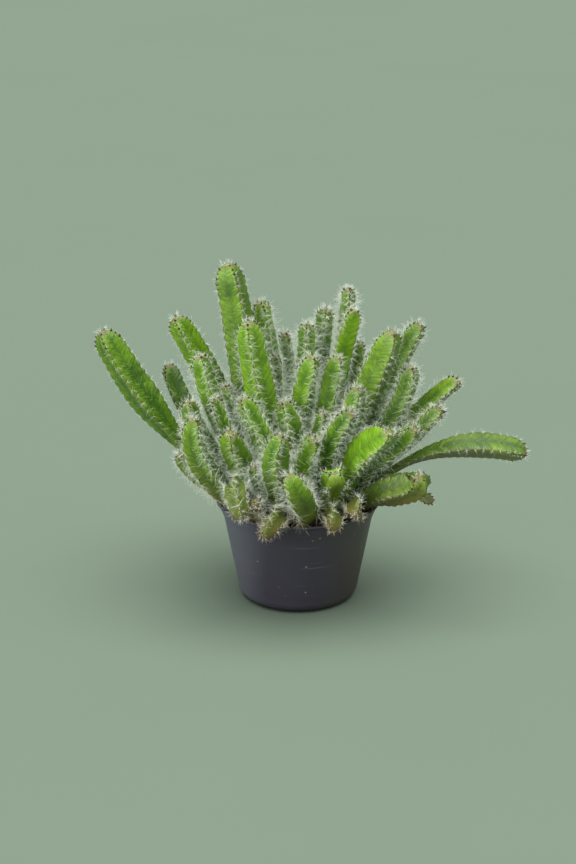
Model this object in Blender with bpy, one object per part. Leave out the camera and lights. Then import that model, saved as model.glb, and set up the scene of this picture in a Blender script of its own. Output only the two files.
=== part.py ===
"""A dragon fruit cactus: a crowd of ribbed, spiny seedling stems that fan out of a small nursery pot.

The frame: +Z is up, -Y is the front, and the origin is the middle of the pot's underside.
Sizes and places are in millimetres; MM turns them into Blender's metres where a mesh is made.
"""

import math

import bmesh
import bpy
import numpy as np
from mathutils import Vector
from mathutils.bvhtree import BVHTree

MM = 0.001
TINY = 1e-6  # keeps a division away from zero
UP = np.array([0.0, 0.0, 1.0])
FRONT = np.array([0.0, -1.0, 0.0])

# The pot: a thin tapered nursery pot whose top band flares out to a small lip
POT_HEIGHT = 65.0
POT_FOOT_RADIUS = 37.2
POT_EDGE = 7.0  # the rounding between the underside and the wall
POT_EDGE_TURNS = (0, 30, 60, 90)
POT_SHOULDER_HEIGHT = 54.0
POT_SHOULDER_RADIUS = 47.4
POT_RIM_RADIUS = 52.5
POT_LIP_HEIGHT = 1.6
POT_LIP_DEPTH = 0.6
POT_WALL = 1.2
POT_FLOOR = 1.8
POT_SIDES = 30
MERGE_WITHIN = 0.01
DRAIN_HOLES = 5
DRAIN_CIRCLE = 22.0
DRAIN_RADIUS = 4.0
DRAIN_SIDES = 8

# The soil, and the holes that the stems stand in
SOIL_TOP = 60.0
FIT_GAP = 0.3
STEM_SINK = 10.0
HOLE_SIDES = 6
FEET_APART = 2.4

# The stems
FOOT_SHARE = 0.6  # a stem's foot stands this share of the way out to its tip
FOOT_CIRCLE = 40.5  # no foot stands further out than this
FOOT_WIDTH_SHARE = 0.2
FOOT_RADIUS_RANGE = (2.0, 3.2)
SWELL_LENGTHS = (50.0, 120.0)  # a short and a long stem reach their full width this far up their length
SWELL_SHARES = (0.28, 0.42)
TAPER = 0.14  # how much slimmer it is again at the tip
TAPER_SHARE = 0.6  # where that taper starts
TIP_ROUND = 1.15  # the length of the rounded tip, in stem radii
ROUND_VALLEY = 0.9  # valley radius over crest radius at the foot, and on 3, 4 and 5 ribs
RIBBED_VALLEY = {3: 0.45, 4: 0.55, 5: 0.66}
TIP_VALLEY = 0.74
TWIST = 24.0  # the most that the ribs turn between foot and tip, in degrees
NOTCH_DEPTH = 0.1  # how far the margin drops at an areole, as a share of the radius
PITCH_BASE = 7.8  # areole spacing: this, and a share of the stem's width
PITCH_SHARE = 0.3
RIBBED_FROM = 0.4  # the ribs and areoles start this far up a stem
RIBS_DONE = 0.44  # and the ribs have their full depth from here
NECK_SHARE = 0.5  # the ring between the soil and the first areole
DOME_START = 0.75  # the last ring with areoles, in lengths of the rounded tip from its point
SLIM_STEM = 12.0  # stems up to this width have one ring past it, others two
DOME_RINGS = (0.4, 0.12)
SLIM_DOME_RINGS = (0.3,)
AXIS_STEPS = 60
RISE_SHARE = 0.22  # a stem rises straight out of the soil for about this share of its height
RISE_LEAST = 12.0
HEADING_SHARE = 0.36  # the last part of a stem that follows the slope of its tip
HEADING_LEAST = 16.0
STRAIGHTENING = 0.2  # how far a tip turns up from the line between foot and tip
RISE_FLOOR = 10.0  # what is left of the rise, and its lean, where others crowd the stem's foot
LEAN_SHARE = 0.3

# Crowding: how the stems bend clear of each other
CROWD_ROUNDS = 150
CROWD_SAMPLES = 18
CROWD_GAP = 1.0
CROWD_PACE = 2.2
LONGEST_PUSH = 4.0
TIP_GIVE = np.array([0.2, 1.0, 0.2])  # tips give way mostly in depth
SPRING_BACK = 0.015  # how strongly a stem springs back to where it grew
STEM_GAP = 0.6  # the air left between stems once the tight places are pinched
LEAST_KEPT = 0.3  # what a tight place leaves of a stem's radius

# The spines that stand out of the areoles
BARE_EVERY = 3  # every third areole stays bare
SPINE_BASE = 0.85
BASE_LEAN = 4.0  # the two far corners of a base follow their sides of the triangle this closely
BASE_ROOM = 1.3  # the least height of a triangle that a spine is raised from, in bases
SPINE_LENGTH = (3.6, 6.2)
SPINE_OUTWARD = 0.8  # the mix of ways that a spine points: off the axis, off the face and along the stem
SPINE_FACEWARD = 0.45
SPINE_ALONG = 0.25
SPINE_TILT = 0.5
SPINE_STEP = 0.8  # how closely a spine is tested for air around it
SPINE_LIFT = 0.3
OWN_SKIN_SHARE = 0.4  # how much of a spine may be close to the skin that it stands on
SPINE_CLEAR = 0.5
SPINES_APART = 1.0
SPINE_TRIES = 5
TRY_SHORTENING = 0.12
SHORTEST_SPINE = 2.4
SEED = 11

# Each stem: tip (across, back, up), width over the ribs, number of ribs, the way that a rib faces
# (0 is the front), and the slope of the tip where it isn't simply on the way from the foot.
STEMS = {
    "stem_left_1": ((-121.5, 0, 175.5), 22.5, 4, 13, 62),
    "stem_left_2": ((-77, 15, 179), 18.5, 4, 10, 49),
    "stem_left_3": ((-82, 24, 146), 17, 4, 45, 62),
    "stem_left_4": ((-61, -5, 161), 14.5, 4, 0, None),
    "stem_left_5": ((-46, 2, 141), 9, 3, 30, None),
    "stem_left_6": ((-67, -18, 136), 13, 4, 20, None),
    "stem_left_7": ((-63, -35, 131), 17, 4, 45, None),
    "stem_left_8": ((-72.5, -25, 103.5), 12.5, 4, 0, 42),
    "stem_left_9": ((-51, -15, 137), 10, 3, 60, None),
    "stem_tall_1": ((-44, 12, 215), 23, 4, 20, 74),
    "stem_tall_2": ((-31, -15, 186), 20, 4, 0, 88),
    "stem_tall_3": ((-25, 18, 188), 14.5, 4, 18, 84),
    "stem_tall_4": ((6, 20, 174), 13, 4, 10, None),
    "stem_tall_5": ((18, 32, 180), 13, 4, 0, None),
    "stem_tall_6": ((32.5, 45, 190), 11, 4, 15, None),
    "stem_tall_7": ((35, 20, 183), 16, 3, 60, 72),
    "stem_tall_8": ((58, -5, 176), 22, 4, 15, None),
    "stem_tall_9": ((77, 25, 172), 17, 4, 30, 50),
    "stem_middle_1": ((-14, 5, 158), 10, 3, 20, None),
    "stem_middle_2": ((-9, 27, 165), 11, 3, 0, None),
    "stem_middle_3": ((9, -10, 162), 17, 4, 10, None),
    "stem_middle_4": ((25, 0, 159), 15, 3, 40, None),
    "stem_middle_5": ((39.5, 26, 160), 10, 3, 60, None),
    "stem_middle_6": ((36, -15, 145), 15, 4, 30, None),
    "stem_middle_7": ((16, -20, 128), 9.5, 3, 0, None),
    "stem_middle_8": ((-10, -20, 137), 15.5, 4, 10, None),
    "stem_middle_9": ((-35, -25, 141), 15.5, 4, 5, None),
    "stem_right_1": ((69.5, 0, 152), 16, 4, 30, None),
    "stem_right_2": ((101, 8, 138.5), 15.5, 3, 0, 0),
    "stem_right_3": ((89, -5, 127), 14, 4, 20, 28),
    "stem_right_4": ((143, -10, 97.5), 21, 3, -8, -20),
    "stem_right_5": ((72, -25, 120), 17, 4, 45, None),
    "stem_right_6": ((72, -41, 96), 22, 5, 0, 43),
    "stem_right_7": ((85, -14, 66), 9.5, 3, 0, -10),
    "stem_right_8": ((55, -45, 126), 24, 3, 0, 66),
    "stem_front_1": ((-41, -40, 123), 18, 4, 5, None),
    "stem_front_2": ((-9, -45, 123), 18, 4, 0, None),
    "stem_front_3": ((11, -42, 119), 17, 4, 45, None),
    "stem_front_4": ((34, -35, 134), 16, 4, 25, None),
    "stem_front_5": ((-25, -38, 101), 8, 3, 0, None),
    "stem_front_6": ((-7.5, -50, 103.5), 19, 3, -20, 62),
    "stem_front_7": ((21.5, -50, 101), 20, 4, -5, 75),
    "stem_rim_1": ((-32, -63, 76), 14, 4, 0, -60),
    "stem_rim_2": ((-24, -64, 83), 14, 4, 30, 20),
    "stem_rim_3": ((-22, -68, 66.5), 13, 3, 60, -65),
    "stem_rim_4": ((19.5, -66, 69), 11.5, 3, 60, -55),
    "stem_rim_5": ((34, -60, 76), 13.5, 3, 60, -10),
    "stem_back_1": ((-58, 48, 137), 16, 4, 0, None),
    "stem_back_2": ((-30, 55, 152), 16, 4, 20, None),
    "stem_back_3": ((-4, 62, 137), 17, 3, 0, None),
    "stem_back_4": ((22, 68, 133), 15, 3, 30, None),
    "stem_back_5": ((52, 55, 145), 17, 4, 0, None),
    "stem_back_6": ((72, 50, 115), 15, 3, 10, 45),
    "stem_back_7": ((-74, 46, 102), 15, 4, 0, 35),
    "stem_back_8": ((-42, 74, 97), 15, 3, 0, 35),
    "stem_back_9": ((-6, 84, 93), 15, 4, 0, 25),
    "stem_back_10": ((32, 82, 87), 14, 3, 0, 15),
}

# Stems that don't grow in the usual way: where the foot stands (across, back), how far the stem rises
# straight up, how long the slope of its tip lasts, and between which shares of its length it swells
HABITS = {
    "stem_left_1": {"rise": 12, "reach": 84, "swelling": (0.25, 0.7)},
    "stem_left_2": {"rise": 42},
    "stem_right_3": {"swelling": (0.3, 0.7)},
    "stem_right_4": {"rise": 39, "reach": 54, "swelling": (0.3, 0.82)},
    "stem_right_6": {"foot": (36, -19)},
    "stem_front_6": {"foot": (3, -35)},
    "stem_front_7": {"foot": (12, -34)},
    "stem_rim_1": {"foot": (-27, -30), "rise": 26, "reach": 22},
    "stem_rim_2": {"foot": (-22.5, -33)},
    "stem_rim_3": {"foot": (-14, -37), "reach": 20},
    "stem_rim_4": {"foot": (21, -34)},
    "stem_rim_5": {"foot": (33, -25)},
}

# name: colour, roughness, metallic
FINISHES = {
    "stem": ((0.16, 0.34, 0.05), 0.45, 0.0),
    "pot": ((0.035, 0.034, 0.04), 0.5, 0.0),
    "soil": ((0.03, 0.02, 0.014), 0.95, 0.0),
}


def smooth(value):
    """0 to 1 with a level start and end."""
    value = np.clip(value, 0.0, 1.0)
    return value * value * (3 - 2 * value)


def unit(vector):
    return vector / max(float(np.linalg.norm(vector)), TINY)


def bezier_weights(count):
    """One row of four Bernstein weights for each of count places along a cubic curve."""
    t = np.linspace(0, 1, count)[:, None]
    return np.hstack([(1 - t) ** 3, 3 * t * (1 - t) ** 2, 3 * t * t * (1 - t), t**3])


def foot_radius(width):
    return float(np.clip(FOOT_WIDTH_SHARE * width, *FOOT_RADIUS_RANGE))


def radius_along(name, width, share, length):
    """The crest radius at shares of a stem's length: a slim foot, a swelling body and a round tip."""
    full, foot = width / 2, foot_radius(width)
    usual = (0.0, np.interp(length, SWELL_LENGTHS, SWELL_SHARES))
    start, end = HABITS.get(name, {}).get("swelling", usual)
    body = foot + (full - foot) * smooth((share - start) / (end - start))
    body *= 1 - TAPER * smooth((share - TAPER_SHARE) / (1 - TAPER_SHARE))
    left = np.clip((1 - share) * length / (TIP_ROUND * full), 0, 1)
    return body * np.sqrt(np.clip(1 - (1 - left) ** 2, 0, 1))


def grown_controls(name, tip, slope):
    """The four control points of a stem's axis: it rises straight out of the soil and ends on its tip."""
    tip = np.array(tip, float)
    habit = HABITS.get(name, {})
    out = np.array(habit.get("foot", tip[:2] * FOOT_SHARE), float)
    out *= min(1.0, FOOT_CIRCLE / max(np.linalg.norm(out), TINY))
    foot = np.array([*out, SOIL_TOP])
    chord = float(np.linalg.norm(tip - foot))
    if slope is None:
        heading = unit(tip - foot + STRAIGHTENING * chord * UP)
    else:
        level = unit(np.array([*(tip - foot)[:2], 0.0]))
        heading = math.cos(math.radians(slope)) * level + math.sin(math.radians(slope)) * UP
    rise = habit.get("rise", max(RISE_SHARE * (tip[2] - SOIL_TOP), RISE_LEAST))
    reach = habit.get("reach", max(HEADING_SHARE * chord, HEADING_LEAST))
    return np.array([foot, foot + rise * UP, tip - reach * heading, tip])


def wall_radius(height):
    """The pot's outer radius at a height, without the lip."""
    heights = (0, POT_SHOULDER_HEIGHT, POT_HEIGHT)
    radii = (POT_FOOT_RADIUS, POT_SHOULDER_RADIUS, POT_RIM_RADIUS - POT_LIP_DEPTH)
    return np.interp(height, heights, radii)


def pot_room(points):
    """The distance from each point to the pot, and the way that leads off it."""
    out = np.maximum(np.linalg.norm(points[:, :2], axis=1), TINY)
    level = np.column_stack([points[:, :2] / out[:, None], np.zeros(len(points))])
    half_rim = (POT_WALL + POT_LIP_DEPTH) / 2
    ring = level * (POT_RIM_RADIUS - half_rim) + UP * POT_HEIGHT
    away = points - ring
    room = np.linalg.norm(away, axis=1) - half_rim
    away /= np.maximum(room + half_rim, TINY)[:, None]
    wall = wall_radius(points[:, 2])
    low = points[:, 2] < POT_HEIGHT
    within = low & (out < wall - POT_WALL / 2)
    beyond = low & ~within
    room[within] = np.minimum(room, wall - POT_WALL - out)[within]
    away[within] = -level[within]
    room[beyond] = np.minimum(room, out - wall - POT_LIP_DEPTH)[beyond]
    away[beyond] = level[beyond]
    return room, away


def spread_feet(feet, needed):
    """Moves the feet apart in the soil's plane, and keeps them in the pot."""
    delta = feet[:, None] - feet[None]
    gap = np.linalg.norm(delta, axis=2) + TINY
    over = np.clip(needed - gap, 0, None) * (1 - np.eye(len(feet))) / 2
    feet = feet + (delta / gap[:, :, None] * over[:, :, None]).sum(1)
    out = np.linalg.norm(feet, axis=1)
    return feet * np.minimum(1, FOOT_CIRCLE / np.maximum(out, TINY))[:, None]


def settled_controls(widths):
    """Grows every axis, then bends the axes clear of each other and of the pot."""
    grown = np.array([grown_controls(name, tip, slope) for name, (tip, _, _, _, slope) in STEMS.items()])
    controls = grown.copy()
    weights = bezier_weights(CROWD_SAMPLES)
    share = np.linspace(0, 1, CROWD_SAMPLES)
    chords = np.linalg.norm(controls[:, 3] - controls[:, 0], axis=1)
    radii = np.concatenate([radius_along(*row[:2], share, row[2]) for row in zip(STEMS, widths, chords)])
    radii = np.maximum(radii, FOOT_RADIUS_RANGE[0])
    owner = np.repeat(np.arange(len(widths)), CROWD_SAMPLES)
    reach = np.where(owner[:, None] != owner[None], radii[:, None] + radii[None] + CROWD_GAP, 0)
    feet = np.array([foot_radius(w) for w in widths])
    feet_apart = feet[:, None] + feet[None] + FEET_APART
    pull = CROWD_PACE / weights.sum(0)[None, :, None]
    for _ in range(CROWD_ROUNDS):
        points = (weights @ controls).reshape(-1, 3)
        delta = points[:, None] - points[None]
        gap = np.sqrt((delta**2).sum(2)) + TINY
        push = (delta * (np.clip(reach - gap, 0, None) / 2 / gap)[:, :, None]).sum(1)
        room, away = pot_room(points)
        push += away * np.clip(radii + CROWD_GAP - room, 0, None)[:, None]
        push *= np.minimum(1, LONGEST_PUSH / (np.linalg.norm(push, axis=1) + TINY))[:, None]
        moved = np.einsum("mk,smd->skd", weights, push.reshape(len(widths), -1, 3)) * pull
        moved[:, 3] *= TIP_GIVE
        controls += moved + SPRING_BACK * (grown - controls)
        controls[:, 0, :2] = spread_feet(controls[:, 0, :2], feet_apart)
        controls[:, 0, 2] = SOIL_TOP
        hold_rise(controls)
    return controls


def hold_rise(controls):
    """Keeps every stem's rise out of the soil long and steep enough."""
    rise = np.maximum(controls[:, 1, 2] - SOIL_TOP, RISE_FLOOR)
    lean = controls[:, 1, :2] - controls[:, 0, :2]
    lean *= np.minimum(1, LEAN_SHARE * rise / np.maximum(np.linalg.norm(lean, axis=1), TINY))[:, None]
    controls[:, 1, :2] = controls[:, 0, :2] + lean
    controls[:, 1, 2] = SOIL_TOP + rise


def pinched(points, radii):
    """Slims each stem where another stem, or the pot, leaves it too little room."""
    flat = points.reshape(-1, 3)
    size = radii.reshape(-1)
    owner = np.repeat(np.arange(len(points)), points.shape[1])
    gap = np.linalg.norm(flat[:, None] - flat[None], axis=2)
    share = (gap - STEM_GAP) / (size[:, None] + size[None] + TINY)
    share[owner[:, None] == owner[None]] = 1
    pot_share = (pot_room(flat)[0] - STEM_GAP) / (size + TINY)
    keep = np.clip(np.minimum(share.min(1), pot_share), LEAST_KEPT, 1).reshape(radii.shape)
    for blend in (np.minimum.reduce, lambda rows: sum(rows) / 3):
        padded = np.pad(keep, ((0, 0), (1, 1)), mode="edge")
        keep = blend([padded[:, :-2], padded[:, 1:-1], padded[:, 2:]])
    return radii * keep


def grown_stems():
    """The axis points, the distances along them and the crest radii, each with a row for every stem."""
    widths = np.array([width for _, width, _, _, _ in STEMS.values()], float)
    points = bezier_weights(AXIS_STEPS) @ settled_controls(widths)
    steps = np.linalg.norm(np.diff(points, axis=1), axis=2)
    along = np.pad(np.cumsum(steps, axis=1), ((0, 0), (1, 0)))
    radii = [radius_along(name, w, row / row[-1], row[-1]) for name, w, row in zip(STEMS, widths, along)]
    return points, along, pinched(points, np.array(radii))


class Axis:
    """A stem's axis, which is read at distances along it from the soil's surface."""

    def __init__(self, points, along, radii):
        foot = points[0] - [0, 0, STEM_SINK]
        self.points = np.vstack([foot, points])
        self.along = np.concatenate([[-STEM_SINK], along])
        self.radii = np.concatenate([[radii[0]], radii])
        self.length = float(along[-1])
        tangents = np.gradient(self.points, self.along, axis=0)
        tangents[:2] = UP
        self.tangents = np.array([unit(t) for t in tangents])
        across = [FRONT]
        for tangent in self.tangents[1:]:
            across.append(unit(across[-1] - tangent * (across[-1] @ tangent)))
        self.across = np.array(across)

    def at(self, place):
        """The point, tangent and two cross axes at a distance along the axis."""
        point, tangent, across = (
            np.array([np.interp(place, self.along, column) for column in rows.T])
            for rows in (self.points, self.tangents, self.across)
        )
        tangent = unit(tangent)
        across = unit(across - tangent * (across @ tangent))
        return point, tangent, across, np.cross(tangent, across)

    def radius(self, place):
        return float(np.interp(place, self.along, self.radii))


def ring_places(length, width):
    """Distances along a stem for its rings, and the first and last of those that have notches."""
    ribbed = RIBBED_FROM * length
    dome = TIP_ROUND * width / 2
    last = length - DOME_START * dome
    count = max(2, round((last - ribbed) / ((PITCH_BASE + PITCH_SHARE * width) / 2)))
    neck = [-STEM_SINK, 0.0, NECK_SHARE * ribbed]
    body = list(np.linspace(ribbed, last, count + 1))
    tip = [length - share * dome for share in (DOME_RINGS if width > SLIM_STEM else SLIM_DOME_RINGS)]
    return neck + body + tip, len(neck), len(neck) + count


def stem_shell(axis, width, ribs, face, twist):
    """The ribbed skin of a stem: vertices, triangles, and areoles as (vertex, outward, along)."""
    places, first, last = ring_places(axis.length, width)
    columns = 2 * ribs
    vertices, areoles = [], []
    for row, place in enumerate(places):
        point, tangent, across, side = axis.at(place)
        share = place / axis.length
        ribbed = smooth(share / RIBS_DONE)
        valley = ROUND_VALLEY + (RIBBED_VALLEY[ribs] - ROUND_VALLEY) * ribbed
        if row == len(places) - 1:
            valley = TIP_VALLEY
        turn = math.radians(face + twist * max(share, 0))
        for column in range(columns):
            angle = turn + math.pi * column / ribs
            outward = math.cos(angle) * across + math.sin(angle) * side
            radius = axis.radius(place)
            rib, is_valley = divmod(column, 2)
            if is_valley:
                radius *= valley
            elif first <= row <= last and (row + rib) % 2 == 0:
                radius *= 1 - NOTCH_DEPTH
                if (row + rib) // 2 % BARE_EVERY:
                    areoles.append((len(vertices), outward, tangent))
            elif row == len(places) - 1:
                areoles.append((len(vertices), outward, tangent))
            vertices.append(point + radius * outward)
    vertices.append(axis.points[-1])
    return vertices, shell_triangles(len(places), columns), areoles


def shell_triangles(rows, columns):
    """Triangles of a closed tube of rings: a flat foot, sides split from crest to valley, and a pole."""
    triangles = [(0, column + 1, column) for column in range(1, columns - 1)]
    for row in range(rows - 1):
        low, high = row * columns, (row + 1) * columns
        for column in range(columns):
            following = (column + 1) % columns
            a, b = low + column, low + following
            c, d = high + following, high + column
            if column % 2 == 0:
                triangles += [(a, b, c), (a, c, d)]
            else:
                triangles += [(a, b, d), (b, c, d)]
    top, pole = (rows - 1) * columns, rows * columns
    triangles += [(top + column, top + (column + 1) % columns, pole) for column in range(columns)]
    return triangles


class SpineField:
    """Keeps the spines clear of the skins, and of each other."""

    def __init__(self, shells):
        points, faces, self.owners = [], [], []
        for owner, (vertices, triangles) in enumerate(shells):
            offset = len(points)
            points += [Vector(v) for v in vertices]
            faces += [[offset + i for i in triangle] for triangle in triangles]
            self.owners += [owner] * len(triangles)
        self.tree = BVHTree.FromPolygons(points, faces)
        self.taken = np.empty((0, 3))

    def free(self, owner, root, tip):
        """Whether a spine from root to tip has air around it. Its own skin counts past its first part."""
        length = np.linalg.norm(tip - root)
        steps = np.linspace(0, 1, max(3, round(length / SPINE_STEP)))
        samples = root + steps[:, None] * (tip - root)
        for step, sample in zip(steps, samples):
            for _, _, face, _ in self.tree.find_nearest_range(Vector(sample), SPINE_CLEAR):
                if self.owners[face] != owner or step > OWN_SKIN_SHARE:
                    return False
        apart = np.linalg.norm(samples[:, None] - self.taken[None], axis=2)
        return not len(self.taken) or apart.min() > SPINES_APART

    def take(self, root, tip):
        steps = np.linspace(0, 1, max(3, round(np.linalg.norm(tip - root) / SPINE_STEP)))
        self.taken = np.vstack([self.taken, root + steps[:, None] * (tip - root)])


def raise_spine(vertices, triangles, triangle, corner, tip):
    """Raises a three-sided spine from one corner of a triangle up to tip, which adds six triangles."""
    order = triangle.index(corner)
    _, b, c = (triangle[(order + step) % 3] for step in range(3))
    to_b, to_c = (unit(vertices[i] - vertices[corner]) for i in (b, c))
    near_b, near_c, point = len(vertices), len(vertices) + 1, len(vertices) + 2
    vertices.append(vertices[corner] + SPINE_BASE * unit(BASE_LEAN * to_b + to_c))
    vertices.append(vertices[corner] + SPINE_BASE * unit(to_b + BASE_LEAN * to_c))
    vertices.append(tip)
    triangles.remove(triangle)
    triangles += [(corner, b, near_b), (b, c, near_c), (b, near_c, near_b), (corner, near_c, c)]
    triangles += [(corner, near_b, point), (near_b, near_c, point), (near_c, corner, point)]


def widest_triangle(vertices, triangles, corner):
    """The triangle with the widest angle at a corner, among those that have room for a spine."""
    best, best_angle = None, 0.0
    for triangle in triangles:
        if corner not in triangle:
            continue
        order = triangle.index(corner)
        sides = [vertices[triangle[(order + step) % 3]] - vertices[corner] for step in (1, 2)]
        height = np.linalg.norm(np.cross(*sides)) / max(np.linalg.norm(sides[1] - sides[0]), TINY)
        angle = math.acos(float(np.clip(unit(sides[0]) @ unit(sides[1]), -1, 1)))
        if height > BASE_ROOM * SPINE_BASE and angle > best_angle:
            best, best_angle = triangle, angle
    return best


def add_spines(owner, shell, areoles, field, chance):
    """Gives each areole one spine, turned or shortened until it stands free."""
    vertices, triangles = shell
    for corner, outward, tangent in areoles:
        tilts = chance.uniform(-1, 1, SPINE_TRIES)
        long = chance.uniform(*SPINE_LENGTH)
        triangle = widest_triangle(vertices, triangles, corner)
        if triangle is None:
            continue
        a, b, c = (vertices[i] for i in triangle)
        normal = unit(np.cross(b - a, c - a))
        root = vertices[corner]
        for attempt, tilt in enumerate(tilts):
            length = long * (1 - TRY_SHORTENING * attempt)
            along = (SPINE_ALONG + SPINE_TILT * tilt) * tangent
            way = unit(SPINE_OUTWARD * outward + SPINE_FACEWARD * normal + along)
            tip = root + length * way
            if length > SHORTEST_SPINE and field.free(owner, root + SPINE_LIFT * way, tip):
                raise_spine(vertices, triangles, triangle, corner, tip)
                field.take(root, tip)
                break


def new_object(name, mesh, finish):
    mesh.materials.append(bpy.data.materials[finish])
    obj = bpy.data.objects.new(name, mesh)
    bpy.context.scene.collection.objects.link(obj)
    return obj


def make_material(name, colour, roughness, metallic):
    material = bpy.data.materials.new(name)
    material.use_nodes = True
    shader = material.node_tree.nodes["Principled BSDF"]
    shader.inputs["Base Color"].default_value = (*colour, 1)
    shader.inputs["Roughness"].default_value = roughness
    shader.inputs["Metallic"].default_value = metallic


def turned_mesh(name, profile):
    """Turns a closed profile of (radius, height) points, which starts and ends on the axis, about +Z."""
    bm = bmesh.new()
    points = [bm.verts.new((radius * MM, 0, height * MM)) for radius, height in profile]
    edges = [bm.edges.new(pair) for pair in zip(points, points[1:])]
    whole = points + edges
    bmesh.ops.spin(bm, geom=whole, axis=(0, 0, 1), cent=(0, 0, 0), angle=math.tau, steps=POT_SIDES)
    bmesh.ops.remove_doubles(bm, verts=bm.verts, dist=MERGE_WITHIN * MM)
    bmesh.ops.recalc_face_normals(bm, faces=bm.faces)
    mesh = bpy.data.meshes.new(name)
    bm.to_mesh(mesh)
    bm.free()
    return mesh


def upright_prisms(name, places, sides, low, high):
    """A cutter of upright prisms, one for each (x, y, radius over the corners)."""
    bm = bmesh.new()
    for x, y, radius in places:
        ends = []
        for height in (low, high):
            turns = [math.tau * side / sides for side in range(sides)]
            ring = [(x + radius * math.cos(turn), y + radius * math.sin(turn), height) for turn in turns]
            ends.append([bm.verts.new(Vector(point) * MM) for point in ring])
        bottom, top = ends
        bm.faces.new(reversed(bottom))
        bm.faces.new(top)
        for side in range(sides):
            following = (side + 1) % sides
            bm.faces.new((bottom[side], bottom[following], top[following], top[side]))
    mesh = bpy.data.meshes.new(name)
    bm.to_mesh(mesh)
    bm.free()
    cutter = bpy.data.objects.new(name, mesh)
    bpy.context.scene.collection.objects.link(cutter)
    cutter.hide_render = True
    cutter.display_type = "WIRE"
    return cutter


def cut(obj, cutter):
    modifier = obj.modifiers.new("Holes", "BOOLEAN")
    modifier.operation = "DIFFERENCE"
    modifier.solver = "EXACT"
    modifier.object = cutter


def rounded_foot(wall, low):
    """The rounding from the pot's underside to its wall, set in by a wall and up from a height."""
    edge = POT_FOOT_RADIUS - POT_EDGE
    reach = wall_radius(POT_EDGE) - wall - edge
    turns = [math.radians(turn) for turn in POT_EDGE_TURNS]
    return [(edge + reach * math.sin(turn), low + POT_EDGE * (1 - math.cos(turn))) for turn in turns]


def make_pot():
    """The tapered pot with its flared band, its lip and its drain holes."""
    wall_top = POT_HEIGHT - POT_LIP_HEIGHT
    outer = [
        (0, 0),
        *rounded_foot(0, 0),
        (POT_SHOULDER_RADIUS, POT_SHOULDER_HEIGHT),
        (wall_radius(wall_top), wall_top),
        (POT_RIM_RADIUS, wall_top + POT_LIP_DEPTH / 2),
        (POT_RIM_RADIUS, POT_HEIGHT),
    ]
    inner = [
        (wall_radius(POT_HEIGHT) - POT_WALL, POT_HEIGHT),
        (POT_SHOULDER_RADIUS - POT_WALL, POT_SHOULDER_HEIGHT),
        *reversed(rounded_foot(POT_WALL, POT_FLOOR)),
        (0, POT_FLOOR),
    ]
    pot = new_object("pot", turned_mesh("pot", outer + inner), "pot")
    places = []
    for hole in range(DRAIN_HOLES):
        turn = math.tau * hole / DRAIN_HOLES
        places.append((DRAIN_CIRCLE * math.cos(turn), DRAIN_CIRCLE * math.sin(turn), DRAIN_RADIUS))
    cut(pot, upright_prisms("drain_cutter", places, DRAIN_SIDES, -POT_FLOOR, 2 * POT_FLOOR))


def make_soil(feet):
    """The soil that fills the pot, with a plain hole for the foot of each stem."""
    clear = POT_WALL + FIT_GAP
    profile = [
        (0, POT_FLOOR + FIT_GAP),
        (POT_FOOT_RADIUS - POT_EDGE - FIT_GAP, POT_FLOOR + FIT_GAP),
        (wall_radius(POT_EDGE) - clear, POT_EDGE + POT_FLOOR + FIT_GAP),
        (POT_SHOULDER_RADIUS - clear, POT_SHOULDER_HEIGHT),
        (wall_radius(SOIL_TOP) - clear, SOIL_TOP),
        (0, SOIL_TOP),
    ]
    soil = new_object("soil", turned_mesh("soil", profile), "soil")
    corner = 1 / math.cos(math.pi / HOLE_SIDES)
    places = [(x, y, (radius + FIT_GAP) * corner) for x, y, radius in feet]
    low = SOIL_TOP - STEM_SINK - FIT_GAP
    cut(soil, upright_prisms("stem_hole_cutter", places, HOLE_SIDES, low, SOIL_TOP + FIT_GAP))


def make_stems():
    """Makes every stem, and returns the place and radius of each foot."""
    axes = [Axis(*rows) for rows in zip(*grown_stems())]
    chance = [np.random.default_rng([SEED, number]) for number in range(len(axes))]
    shells, areoles = [], []
    for axis, draws, (_, width, ribs, face, _) in zip(axes, chance, STEMS.values()):
        vertices, triangles, spots = stem_shell(axis, width, ribs, face, TWIST * draws.uniform(-1, 1))
        shells.append((vertices, triangles))
        areoles.append(spots)
    field = SpineField(shells)
    for number, shell in enumerate(shells):
        add_spines(number, shell, areoles[number], field, chance[number])
    for name, (vertices, triangles) in zip(STEMS, shells):
        mesh = bpy.data.meshes.new(name)
        mesh.from_pydata([Vector(vertex) * MM for vertex in vertices], [], triangles)
        new_object(name, mesh, "stem")
    return [(*axis.points[0][:2], axis.radii[0]) for axis in axes]


def main():
    for obj in list(bpy.data.objects):
        bpy.data.objects.remove(obj, do_unlink=True)
    for name, (colour, roughness, metallic) in FINISHES.items():
        make_material(name, colour, roughness, metallic)
    make_pot()
    make_soil(make_stems())


main()
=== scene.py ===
"""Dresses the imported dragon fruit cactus: ribbed stems with their hairs, a scuffed pot and crumbly soil.

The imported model's frame holds: +Z is up, -Y is the front, and the origin is the middle of the pot's
underside. The stems grow here by the same table and the same rules as their solids, in millimetres,
so that each fine stem lies on its solid. MM turns millimetres into Blender's metres.
"""

import math

import bmesh
import bpy
import numpy as np
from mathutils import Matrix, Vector, noise


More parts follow.
